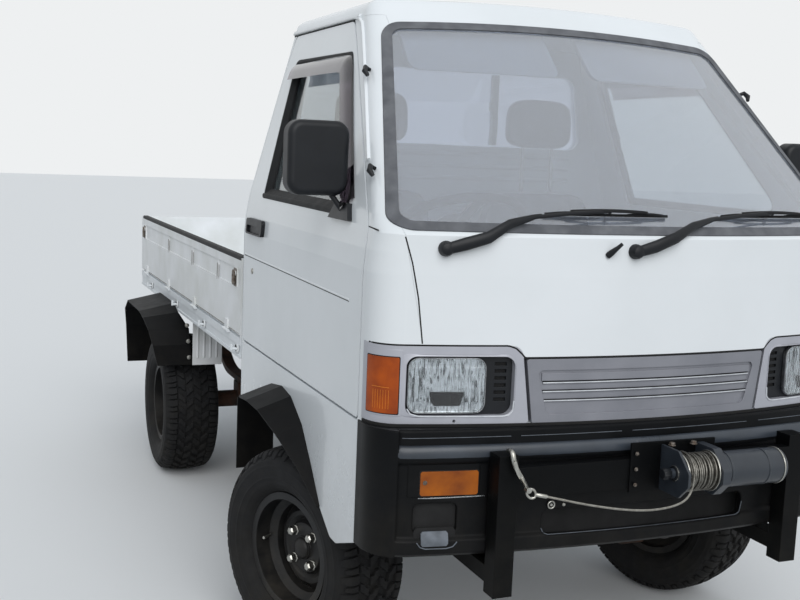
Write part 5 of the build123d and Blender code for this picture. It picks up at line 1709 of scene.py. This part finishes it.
@dataclass
class FrontDetail:
    """Painted shade in gaps and hollows, painted highlights on edges, and small fittings of the grille and
    bumper.

    Args:
        louvre_tops: height of each louvre's bright edge.
        louvre_half: half the length of the louvres.
        tow_window: x and z limits of the wall behind the tow window.
        long_slot: x and z limits of the wall behind the long slot.
        roll_box: limits of the brow's roll along the corner's arc and in z.
        brow_z: height of the painted highlight line over the roll.
        brow_spans: x limits of each stretch of that line.
        eye: x and z of the ring bolt.
        jet: x and z of the washer nozzle's foot.
    """

    louvre_tops: tuple[float, ...] = (848.6, 870.6, 891.6)
    louvre_half: float = 297.0
    tow_window: Box = (-640, -470, 512, 640)
    long_slot: Box = (-325, 325, 500, 618)
    roll_box: Box = (97, 815, 714, 754)
    brow_z: float = 771.0
    brow_spans: tuple[tuple[float, float], ...] = ((-640, -380), (-355, -90), (-60, 290), (330, 620))
    eye: tuple[float, float] = (-271, 602)
    jet: tuple[float, float] = (-150, 1192)

    def gaps(self) -> Shell:
        """Painted shade: dark strips at the bottoms of the gaps beside and below the grille panel."""
        beside = bead(lowered(ON_FRONT, 20.1), [-324, -347], [794, 951], 18, 1.2, 8, sunk=0.0)
        below = slab(ON_CORNER, (2, 752, 744, 796.6), 1, 1.0, -1.0, 70, 4)
        return both_sides(beside) + both_sides(below)

    def louvres(self, rise: float, width: float, height: float, sunk: float) -> Shell:
        """Line along each of the grille's three louvres, a rise above its upper edge: on the edge it
        carries a painted highlight, higher up a painted shadow.
        """
        ends = [-self.louvre_half, self.louvre_half]
        return merged([bead(ON_FRONT, ends, [z + rise, z + rise], width, height, 40, sunk=sunk)
                       for z in self.louvre_tops])

    def backings(self) -> Shell:
        """Painted shade: dark walls behind the tow window and the long slot."""
        return (both_sides(slab(ON_FIELD, self.tow_window, 6, -19, -22, 16, 6))
                + slab(ON_FIELD, self.long_slot, 6, -62, -65, 40, 6))

    def tow_foot(self) -> Shell:
        """Painted shade: a dark plate for the hollow lower part of the tow window."""
        return slab(ON_FIELD, (-604, -506, 525, 560), 8, -8.3, -20, 14, 4)

    def tow_step(self) -> Shell:
        """Ledge in the foot of the tow window, pale as a painted highlight."""
        def sloped(u: Array, v: Array) -> Array:
            """Height that falls back with v."""
            return 0.9 - np.clip(v - 532, 0, None) * 0.35

        return slab(ON_FIELD, (-588, -524, 518, 552), 5, sloped, -14, 12, 8)

    def tow_lip(self) -> Shell:
        """Lower edge of the tow window, pale as a painted highlight."""
        return bead(ON_FIELD, [-598, -590, -578, -528, -512, -503], [528, 517, 512.5, 512, 516, 527],
                    2.6, 1.4, 40)

    def roll(self) -> Shell:
        """Half-round roll along the bumper's brow: height = the root of one less the square of the
        place across it. It ends where the field ends, short of the corner."""
        start, _, foot, top = self.roll_box
        middle, half = (top + foot) / 2, (top - foot) / 2

        def round_back(u: Array, v: Array) -> Array:
            """Height of the roll above the bumper's outer surface."""
            across = np.sqrt(np.clip(1 - ((v - middle) / half) ** 2, 0, 1))
            return eased((u - start - 2) / 14) * (1.5 + 11.3 * across) - 12

        return slab(BUMPER.on_corner, self.roll_box, 8, round_back, -15, 90, 22)

    def brow_line(self) -> Shell:
        """Painted highlight: a thin pale line along the bumper's upper edge."""
        return merged([bead(lowered(ON_FIELD, 12), span, [self.brow_z, self.brow_z], 1.6, 1.4, 16)
                       for span in self.brow_spans])

    def lamp_lip(self) -> Shell:
        """Bare lip under the bumper lamp."""
        return bead(lowered(ON_FIELD, 8.5), [-598, -570, -440], [631.5, 631.0, 632.5], 4.5, 3.0, 16)

    def slot_lip(self) -> Shell:
        """Lower edge of the long slot, pale as a painted highlight."""
        return bead(lowered(ON_FIELD, 8.6), [-293, -287, -274, 0, 274, 287, 293],
                    [545, 533, 528, 527.5, 528, 533, 562], 2.2, 1.3, 90)

    def ring_bolt(self) -> Shell:
        """Eye and bolt head on the bumper's field."""
        centre = rest_on(ON_FIELD, *self.eye, -5.5)
        eye = upright_ring(centre, (1, 0, 0), 8.5, 2.2, 24, 8)
        shank = rod(centre + (0, 4, 0), centre + (0, -1.5, 0), 3.5, 12)
        head = lathe([(0, -1), (5, -1), (5, 2), (3.5, 3.5), (0, 4)], rest_on(ON_FIELD, -237, 600, -9),
                     (0, -1, 0), 6)
        return eye + shank + head

    def washer_jet(self) -> Shell:
        """Washer nozzle below the windscreen, leaning to the left side."""
        foot = rest_on(ON_FRONT, *self.jet)
        path = np.array([foot, foot + (4, -9, 8), foot + (14, -18, 20), foot + (22, -24, 30)])
        return tube(path, np.array([8.0, 7.5, 5.0, 4.2]), 14, guide=(0, 1, 0.4))

    def build(self, shop: Workshop) -> None:
        """Makes the front's small pieces."""
        shop.add_rows((
            # Painted shade in the gaps round the grille.
            ("front_gaps", self.gaps(), DEEP_BLACK),
            # Painted highlight on the louvres' upper edges, and painted shadow over them.
            ("louvre_edges", self.louvres(0, 2.4, -0.6, 3.0), EDGE_HIGHLIGHT, "grey_trim"),
            ("louvre_shadows", self.louvres(2.2, 1.8, -3.6, 5.2), DEEP_BLACK),
            ("lamp_lips", both_sides(self.lamp_lip()), PLATED_RIM),
            # Painted shade behind the bumper's openings, and in the tow windows' feet.
            ("bumper_backings", self.backings(), DEEP_BLACK),
            ("tow_feet", both_sides(self.tow_foot()), DEEP_BLACK),
            # Painted highlight on the tow windows' lower edges.
            ("tow_lips", both_sides(self.tow_lip()), BUMPER_HIGHLIGHT),
            # Painted sheen of the sky along the roll.
            ("bumper_roll", both_sides(self.roll()), ROLL_PLASTIC, "black_plastic"),
            # Painted highlights on the brow, the slot's lip and the tow windows' ledges.
            ("brow_line", self.brow_line(), BUMPER_HIGHLIGHT),
            ("slot_lip", self.slot_lip(), BUMPER_HIGHLIGHT),
            ("tow_steps", both_sides(self.tow_step()), BUMPER_HIGHLIGHT),
            ("ring_bolt", self.ring_bolt(), GALVANISED),
            ("washer_jet", self.washer_jet(), DARK_PLASTIC, "black_plastic"),
        ))


@dataclass
class WinchDetail:
    """Knob, bolts and bands of the winch and its plate.

    Args:
        axis: y and z of the drum's axis.
        cheek_x: outer face of the near cheek.
        motor_x: start and end of the motor.
    """

    axis: tuple[float, float] = (-842.783, 690.0)
    cheek_x: float = -6.0
    motor_x: tuple[float, float] = (116.0, 288.0)

    def on_axis(self, x: float, y: float = 0.0, z: float = 0.0) -> Place:
        """A point beside the drum's axis."""
        return (x, self.axis[0] + y, self.axis[1] + z)

    def knob(self) -> Shell:
        """Clutch knob: a fluted grip on a collar, whose radius waves round it."""
        profile = [(0, -1), (17, -1), (17, 3), (9, 5), (8, 12), (12.5, 14), (13.5, 17), (13.5, 30),
                   (11, 34), (0, 35)]
        shell = lathe(profile, self.on_axis(self.cheek_x), (-1, 0, 0), 60)
        local = shell.points - self.on_axis(0)
        angle = np.arctan2(local[:, 2], local[:, 1])
        grip = (np.abs(local[:, 0] - self.cheek_x) > 10) & (np.hypot(local[:, 1], local[:, 2]) > 12)
        local[:, 1:] *= np.where(grip, 1 + 0.05 * np.sin(8 * angle), 1.0)[:, None]
        return Shell(local + self.on_axis(0), shell.faces)

    def bright_rings(self) -> Shell:
        """Washer under the knob, and the motor's end band."""
        washer = lathe([(14, -0.5), (18.5, -0.5), (18.5, 1.6), (14, 1.6)], self.on_axis(self.cheek_x),
                       (-1, 0, 0), 40, hollow=True)
        band = lathe([(42.9, -4.5), (44.9, -4.5), (45.3, -3.5), (45.3, -2), (44.8, -1), (42.9, -1)],
                     self.on_axis(self.motor_x[1]), (1, 0, 0), 64, hollow=True)
        return washer + band

    def motor_cap(self) -> Shell:
        """End cap of the motor with a step, and two bands round its can."""
        start, end = self.motor_x
        cap = lathe([(0, -1), (43.2, -1), (43.2, 4), (40, 8), (22, 9), (20, 12), (0, 12.5)],
                    self.on_axis(end), (1, 0, 0), 56)
        bands = [lathe([(42.8, 0), (44.4, 0.6), (44.4, 5.4), (42.8, 6)], self.on_axis(x), (1, 0, 0), 56,
                       hollow=True) for x in (start + 12, start + 122)]
        return merged([cap, *bands])

    def bolts(self) -> Shell:
        """Bolts on the cheeks' ties, the gear case and the plate."""
        plate_y = self.axis[0] + 57
        parts = [hex_head((x, plate_y - 14, 745), (0, 0, 1), 12, 7) for x in (14, 76)]
        parts += [hex_head((x, plate_y - 6, z), (0, -1, 0), 6.5, 4)
                  for x in (-78, 140) for z in (652, 690, 728)]
        parts += [lathe([(0, -1), (4.5, -1), (4.5, 2.5), (0, 3)],
                        self.on_axis(92.9, 34 * cos(a), 34 * sin(a)), (-1, 0, 0), 6)
                  for a in np.linspace(0.4, 2 * pi + 0.4, 6, endpoint=False)]
        parts += [hex_head(self.on_axis(self.motor_x[1] + 7.5, 29 * sin(a), 29 * cos(a)), (1, 0, 0), 9, 5)
                  for a in (0.6, 0.6 + pi)]
        return merged(parts)

    def build(self, shop: Workshop) -> None:
        """Makes the winch's small pieces."""
        shop.add_rows((("clutch_knob", self.knob(), DARK_PLASTIC, "black_plastic"),
                       ("winch_bright_rings", self.bright_rings(), GALVANISED),
                       ("motor_cap", self.motor_cap(), WINCH_PAINT),
                       ("winch_bolts", self.bolts(), RUSTY_ZINC)))


@dataclass
class Wipers:
    """Wipers of the windscreen, and the glass of both mirrors.

    Args:
        arms: pivot's x, ends of the blade in x, and its height.
        pivot_z: height of the pivots.
        mirror: x and z limits of a mirror's glass.
        mirror_y: y of its recess.
    """

    arms: tuple[tuple[float, float, float, float], ...] = ((-543, -292, 38, 1280), (-78, 205, 545, 1282))
    pivot_z: float = 1202.0
    mirror: Box = (-815, -681, 1310, 1472)
    mirror_y: float = -315.6

    def arm(self, pivot_x: float, u0: float, u1: float, blade_z: float) -> Shell:
        """Cap, moulded arm that tapers, and thin bar to the middle of the blade."""
        middle = (u0 + u1) / 2
        foot = rest_on(ON_FRONT, pivot_x, self.pivot_z)
        out = unit(rest_on(ON_FRONT, pivot_x, self.pivot_z, 5) - foot)
        cap = lathe([(0, -1), (18, -1), (18, 5), (16.5, 8), (16.5, 15), (13, 21), (7, 23.5), (0, 24)],
                    foot, out, 28)
        share = np.array([0.0, 0.10, 0.22, 0.36, 0.5, 0.56])
        u = pivot_x + (middle - pivot_x) * share
        v = self.pivot_z + (blade_z - self.pivot_z) * np.array([0.0, 0.16, 0.36, 0.58, 0.76, 0.83])
        lift = np.array([14, 17, 19, 20, 21, 21])
        line = rest_on(ON_FRONT, u, v, lift)
        thick = np.array([(13.0, 7.0), (15.0, 9.0), (14.0, 8.5), (11.0, 7.0), (7.0, 5.0), (4.0, 3.0)])
        profile = circle(1.0, 14) * thick[:, None]
        moulded = sweep(line, profile, out)
        u = middle + (u[-2] - middle) * np.array([1.0, 0.5, 0.0])
        v = blade_z + (v[-2] - blade_z) * np.array([1.0, 0.45, 0.0])
        bar = sweep(rest_on(ON_FRONT, u, v, np.array([21.0, 22.0, 19.0])),
                    circle(1.0, 10) * np.array([4.6, 2.4]), out)
        hooked = rod(*(rest_on(ON_FRONT, middle, blade_z, lift) for lift in (22.0, 13.0)), 4.5)
        return merged([cap, moulded, bar, hooked])

    def blade(self, u0: float, u1: float, blade_z: float) -> Shell:
        """Blade: a bowed bridge, two yokes whose claws reach down to the rubber, and the rubber."""
        u = np.linspace(u0, u1, 33)
        share = np.linspace(-1, 1, 33)
        bow = 21.0 - 12.0 * share ** 2
        box = np.array([(-4, -1.6), (4, -1.6), (4, 1.2), (1.5, 2.4), (-1.5, 2.4), (-4, 1.2)])
        width = (1.0 - 0.45 * share ** 2)[:, None, None]
        inner = slice(6, 27)
        out = (0, -1, 0.4)
        bridge = sweep(rest_on(ON_FRONT, u, blade_z, bow)[inner], (box * width)[inner], out)
        yokes = []
        for centre in (-0.62, 0.62):
            near = np.abs(share - centre) < 0.36
            arch = 5.0 + 6.5 * np.cos((share[near] - centre) / 0.36 * pi / 2)
            yokes.append(sweep(rest_on(ON_FRONT, u[near], blade_z, arch), box * 0.8, out))
        strip = np.array([(-4, 2.2), (-4, 4.6), (4, 4.6), (4, 2.2), (1.2, 1.2), (1.2, -3.0), (-1.2, -3.0),
                          (-1.2, 1.2)])
        rubber = sweep(rest_on(ON_FRONT, u, blade_z, 3.6), strip * (0.8, 1.0), out)
        return merged([bridge, *yokes, rubber])

    def mirror_glass(self) -> Shell:
        """Pane in the mirror's recess, facing the rear."""
        return slab(upright_plane(self.mirror_y, 1), self.mirror, 28, 2.0, -0.3, 30, 4)

    def build(self, shop: Workshop) -> None:
        """Makes both wipers and the mirrors' glass."""
        arms = merged([self.arm(*row) for row in self.arms])
        shop.add("wiper_arms", arms, DARK_PLASTIC, CHASSIS, "black_plastic", ["wipers"])
        blades = merged([self.blade(*row[1:]) for row in self.arms])
        shop.add("wiper_blades", blades, FRAME_RUBBER, CHASSIS, "black_plastic")
        shop.add_pair("mirror_glass", self.mirror_glass(), MIRROR_GLASS, ("right_door", "left_door"))


# Bed and flares


@dataclass
class BedDetail:
    """Rubber strips, latches, hook tabs, tail lamps and bolts round the bed, and what the flares carry.

    Args:
        half: half width of the bed.
        ends: y of the side gates' ends.
        top: height of the gates' top.
        rope_hooks: y of the rope hooks.
        latches: y of the side gates' latches.
        stakes: y of the pressed stakes.
        tail_lamp: x and z limits of a tail lamp.
        lamp_rear: y of its rear face.
    """

    half: float = 691.0
    ends: tuple[float, float] = (608.0, 2564.0)
    top: float = 1047.0
    rope_hooks: tuple[float, ...] = (638, 1152, 1682, 2295)
    latches: tuple[float, ...] = (674, 2498)
    stakes: tuple[float, ...] = (942, 1385, 1888)
    tail_lamp: Box = (381, 572, 610, 700)
    lamp_rear: float = 2588.0

    def on_gate(self, u: Array, v: Array, height: Array) -> Array:
        """Mapping onto the right gate's outer face: u along y, v up."""
        return np.stack([-(self.half + height), u, v], -1)

    def strip(self) -> Shell:
        """Rubber strip on a side gate's top, with a rounded back."""
        y = np.linspace(*self.ends, 20)
        line = np.column_stack([np.full(20, -self.half + 12), y, np.full(20, self.top)])
        return sweep(line, [(-12.5, -9), (-12.5, 2.0), (-9, 4.6), (9, 4.6), (12.5, 2.0), (12.5, -9),
                            (11.9, -9), (11.9, -0.1), (-11.9, -0.1), (-11.9, -9)], (0, 0, 1))

    def hook_tabs(self) -> Shell:
        """Bright pressed tabs round the rope hooks."""
        tabs = [slab(self.on_gate, (y - 17, y + 15, 728, 754), 8, 3.4, -1.0, 14, 4)
                for y in self.rope_hooks]
        return both_sides(merged(tabs))

    def hook_holes(self) -> Shell:
        """Painted shade: a dark disc for the hollow under each rope hook."""
        holes = [lathe([(0, 0), (11, 0), (11, 4.2), (0, 4.2)], (-self.half, y + 7, 742), (-1, 0, 0), 20)
                 for y in self.rope_hooks]
        return both_sides(merged(holes))

    def stake_shadow_strips(self) -> Shell:
        """Painted shadows: dark strips beside the pressed stakes and along the gate's foot."""
        marks = [(y + 11, y + 15, 936, 994) for y in self.stakes]
        marks += [(y - 14, y - 12, 940, 990) for y in self.stakes]
        marks += [(622, 2550, 792, 794.5)]
        return merged([slab(self.on_gate, mark, 1, 0.5, -1.0, 12, 4) for mark in marks])

    def lamp_lens(self, low: float, high: float) -> Shell:
        """One colour of the tail lamp, between two distances from the middle."""
        _, _, foot, top = self.tail_lamp
        return both_sides(slab(upright_plane(self.lamp_rear, 1), (low, high, foot + 6, top - 6), 5, 5.5,
                               -1.0, 16, 6))

    def lamp_body(self) -> Shell:
        """Housing of the tail lamps."""
        x0, x1, foot, top = self.tail_lamp
        return both_sides(block((x0, self.lamp_rear - 40, foot), (x1, self.lamp_rear + 0.5, top)))

    def latch(self, y: float) -> Shell:
        """Over-centre latch: base plate, looped lever and its pivot."""
        base = slab(self.on_gate, (y - 19, y + 19, 946, 1007), 5, 4.4, -3.5, 12, 6)
        loop = rest_on(self.on_gate, y + np.array([-11, -11, -8, 6, 10, 10, 4]),
                       976 + np.array([20, -14, -21, -22, -16, 10, 16]), 9.0)
        pivot = rod(rest_on(self.on_gate, y + 2, 993, 2), rest_on(self.on_gate, y + 2, 993, 12.5), 8.5)
        return merged([base, tube(loop, 4.0, 8, guide=(1, 0, 0)), pivot])

    def tail_latch(self) -> Shell:
        """The same latch on the tailgate's right end."""
        latch = self.latch(0.0)
        side = latch.points - (-self.half, 0, 0)
        turned = np.stack([side[:, 1], -side[:, 0], side[:, 2]], -1)
        return Shell(turned + (-625.0, 2594.0, 0), latch.faces)

    def flare_leg(self) -> Shell:
        """Rear leg of the front flare, whose top follows the flare's droop."""
        leg = block((-757, 356.5, 415), (-640, 360.5, 661))
        droop = np.where(leg.points[:, 2] > 600, np.clip(-698 - leg.points[:, 0], 0, 60) * 0.35, 0)
        return Shell(leg.points - droop[:, None] * (0, 0, 1), leg.faces)

    def flare_bolts(self) -> Shell:
        """Bright bolt heads along the rear flare's front edge, and on the front flare's rear edge."""
        parts = [lathe([(0, -1), (9, -1), (9, 1.2), (5.5, 1.6), (5.5, 5), (0, 5.6)], (x, 1535.4, z),
                       (0, -1, 0), 12) for x, z in ((-678, 673), (-672, 607), (-668, 540))]
        parts += [lathe([(0, -1), (6, -1), (6, 2), (0, 3)], (-790, 2301.5, z), (0, 1, 0), 6)
                  for z in (430, 520)]
        return both_sides(merged(parts))

    def build(self, shop: Workshop) -> None:
        """Makes the bed's small pieces."""
        gates = ("right_gate", "left_gate")
        shop.add_pair("gate_rubber", self.strip(), FRAME_RUBBER, gates, slot="seal_rubber")
        shop.add_pair("gate_latches", merged([self.latch(y) for y in self.latches]), RUSTY_ZINC, gates)
        shop.add("tail_latches", both_sides(self.tail_latch()), RUSTY_ZINC, "rear_gate")
        shop.add_rows((("hook_tabs", self.hook_tabs(), BED_PAINT, "white_paint"),
                       # Painted shade in the hollows under the rope hooks.
                       ("hook_hollows", self.hook_holes(), DEEP_BLACK),
                       ("flare_bolts", self.flare_bolts(), GALVANISED),
                       ("front_flare_legs", both_sides(self.flare_leg()), FLARE_SHEET, "black_sheet")))
        # Painted shadows beside the stakes and along the gates' foot, in the rusty zinc's dark tones.
        shop.add_pair("stake_grime", self.stake_shadow_strips(), RUSTY_ZINC, gates)
        shop.add_rows((("tail_lamp_bodies", self.lamp_body(), DARK_PLASTIC, "black_plastic",
                        ["tail_lamps"]),
                       ("stop_lenses", self.lamp_lens(512, 569), STOP_RED, "red_lens"),
                       ("turn_lenses", self.lamp_lens(451, 508), AMBER_SHELL, "amber_lens"),
                       ("reversing_lenses", self.lamp_lens(385, 447), WHITE_PLASTIC)))


@dataclass(frozen=True)
class Pad:
    """Stuffed cushion: a rounded box that swells in its middle, with sewn channels.

    Its surface is a superellipsoid: each axis follows a sine or cosine raised to a power below one,
    which flattens the faces and keeps the edges round.

    Args:
        low: lowest corner of its box.
        high: highest corner.
        power: below one; smaller is boxier.
        taper: share of the width lost at the top.
        channels: x of the channels from the middle, upright in a back and fore and aft in a cushion.
        crossing: height or depth of the seam across, as a share from -1 to 1, or none.
        lean: how far the top lies back.
        seam: half the width of a channel.
    """

    low: Place
    high: Place
    power: float = 0.36
    taper: float = 0.0
    channels: tuple[float, ...] = ()
    crossing: float | None = None
    lean: float = 0.0
    seam: float = 4.5

    def shell(self) -> Shell:
        """The pad's surface."""
        low, high = np.array(self.low, float), np.array(self.high, float)
        up = np.linspace(-pi / 2, pi / 2, 60)[:, None]
        around = np.linspace(0, 2 * pi, 110, endpoint=False)[None, :]

        def bent(value: Array) -> Array:
            """The value's size raised to the power, with its sign."""
            return np.sign(value) * np.abs(value) ** self.power

        x, y = bent(np.cos(up)) * bent(np.cos(around)), bent(np.cos(up)) * bent(np.sin(around))
        z = bent(np.sin(up)) * np.ones_like(around)
        flat = (high - low)[1] < (high - low)[2]
        depth, height = (y, z) if flat else (z, y)
        half = (high - low) / 2
        across = x * half[0]
        sewn = sum((np.exp(-((across - at) / self.seam) ** 2) for at in self.channels), np.zeros_like(x))
        if self.crossing is not None:
            sewn = sewn + np.exp(-((height - self.crossing) * half[2 if flat else 1] / self.seam) ** 2)
        piped = np.exp(-((np.abs(depth) - 0.55) / 0.05) ** 2) * 0.5
        swell = (1 - np.minimum(x ** 2, 1)) * (1 - np.minimum(height ** 2, 1))
        depth = depth * (0.86 + 0.14 * swell) * (1 - np.clip(sewn, 0, 1) * 6 / half[1 if flat else 2])
        x = x * (1 - self.taper * (z + 1) / 2) * (1 + piped * 0.012)
        y, z = (depth, height) if flat else (height, depth)
        centre = (high + low) / 2
        grid = centre + np.stack([x, y, z], -1) * half
        grid[..., 1] += self.lean * (z + 1) / 2
        return grid_shell(grid, wrap_columns=True, cap=True).outward()


@dataclass
class Cabin:
    """Seats and fittings behind the glass.

    Args:
        middles: side and x of each seat.
    """

    middles: tuple[tuple[str, float], ...] = (("right", -330.0), ("left", 270.0))

    def pads(self, x: float) -> dict[str, Pad]:
        """Cushion, back and headrest of one seat."""
        return {
            "seat_cushion": Pad((x - 235, 32, 802), (x + 235, 352, 928), 0.32, 0.0,
                                (-150, -75, 0, 75, 150), 0.72),
            "seat_back": Pad((x - 233, 346, 884), (x + 233, 438, 1290), 0.3, 0.2,
                             (-120, -60, 0, 60, 120), -0.8),
            "headrest": Pad((x - 120, 362, 1440), (x + 120, 438, 1600), 0.5, 0.06, (), -0.2),
        }

    def posts(self, x: float) -> Shell:
        """Posts of a headrest and the plate that they stand in."""
        rods = [rod((x + side, 400, 1270), (x + side, 400, 1460), 6) for side in (-55, 55)]
        sleeves = [lathe([(0, 0), (13, 0), (12, 5), (8, 8), (0, 8)], (x + side, 400, 1287), (0, 0, 1), 18)
                   for side in (-55, 55)]
        return merged([*rods, *sleeves, block((x - 225, 356, 800), (x + 225, 500, 842))])

    def divider(self) -> Shell:
        """Upright bar between the rear window's panes, and the catch of its slide."""
        return block((172, 552, 1446), (192, 580, 1684)) + block((158, 544, 1560), (174, 556, 1590))

    def wall_ribs(self) -> Shell:
        """Pressed ribs across the rear wall below its window."""
        return merged([bead(upright_plane(548, -1), [-520, 520], [z, z], 12, 4, 12) for z in (1222, 1236)])

    def build(self, shop: Workshop) -> None:
        """Makes the cabin's pieces."""
        for side, x in self.middles:
            for kind, pad in self.pads(x).items():
                stands_for = ["seats"] if (side, kind) == ("right", "seat_cushion") else []
                piece = shop.add(f"{kind}_{side}", pad.shell(), SEAT_CLOTH, CHASSIS, "seat_cloth",
                                 stands_for, smooth=80)
        shop.add_rows((("seat_frames", merged([self.posts(x) for _, x in self.middles]), GALVANISED),
                       ("window_divider", self.divider(), WHITE_PLASTIC),
                       ("rear_wall_ribs", self.wall_ribs(), CABIN_PAINT, "cabin_paint")))


def main() -> None:
    """Builds the truck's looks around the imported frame."""
    logging.basicConfig(level=logging.INFO, format="%(message)s")
    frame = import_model()
    shop = Workshop(frame)
    PhotoCamera().build(shop)
    WinchRope().build(shop)
    Studio().build()
    shop.dress_nodes()
    for section in (Wheels(), CabTrim(), Lamps(), FrontDetail(), WinchDetail(), Wipers(), BedDetail(),
                    Cabin()):
        section.build(shop)
        LOG.info("finished %s", type(section).__name__)


if __name__ == "__main__":
    main()
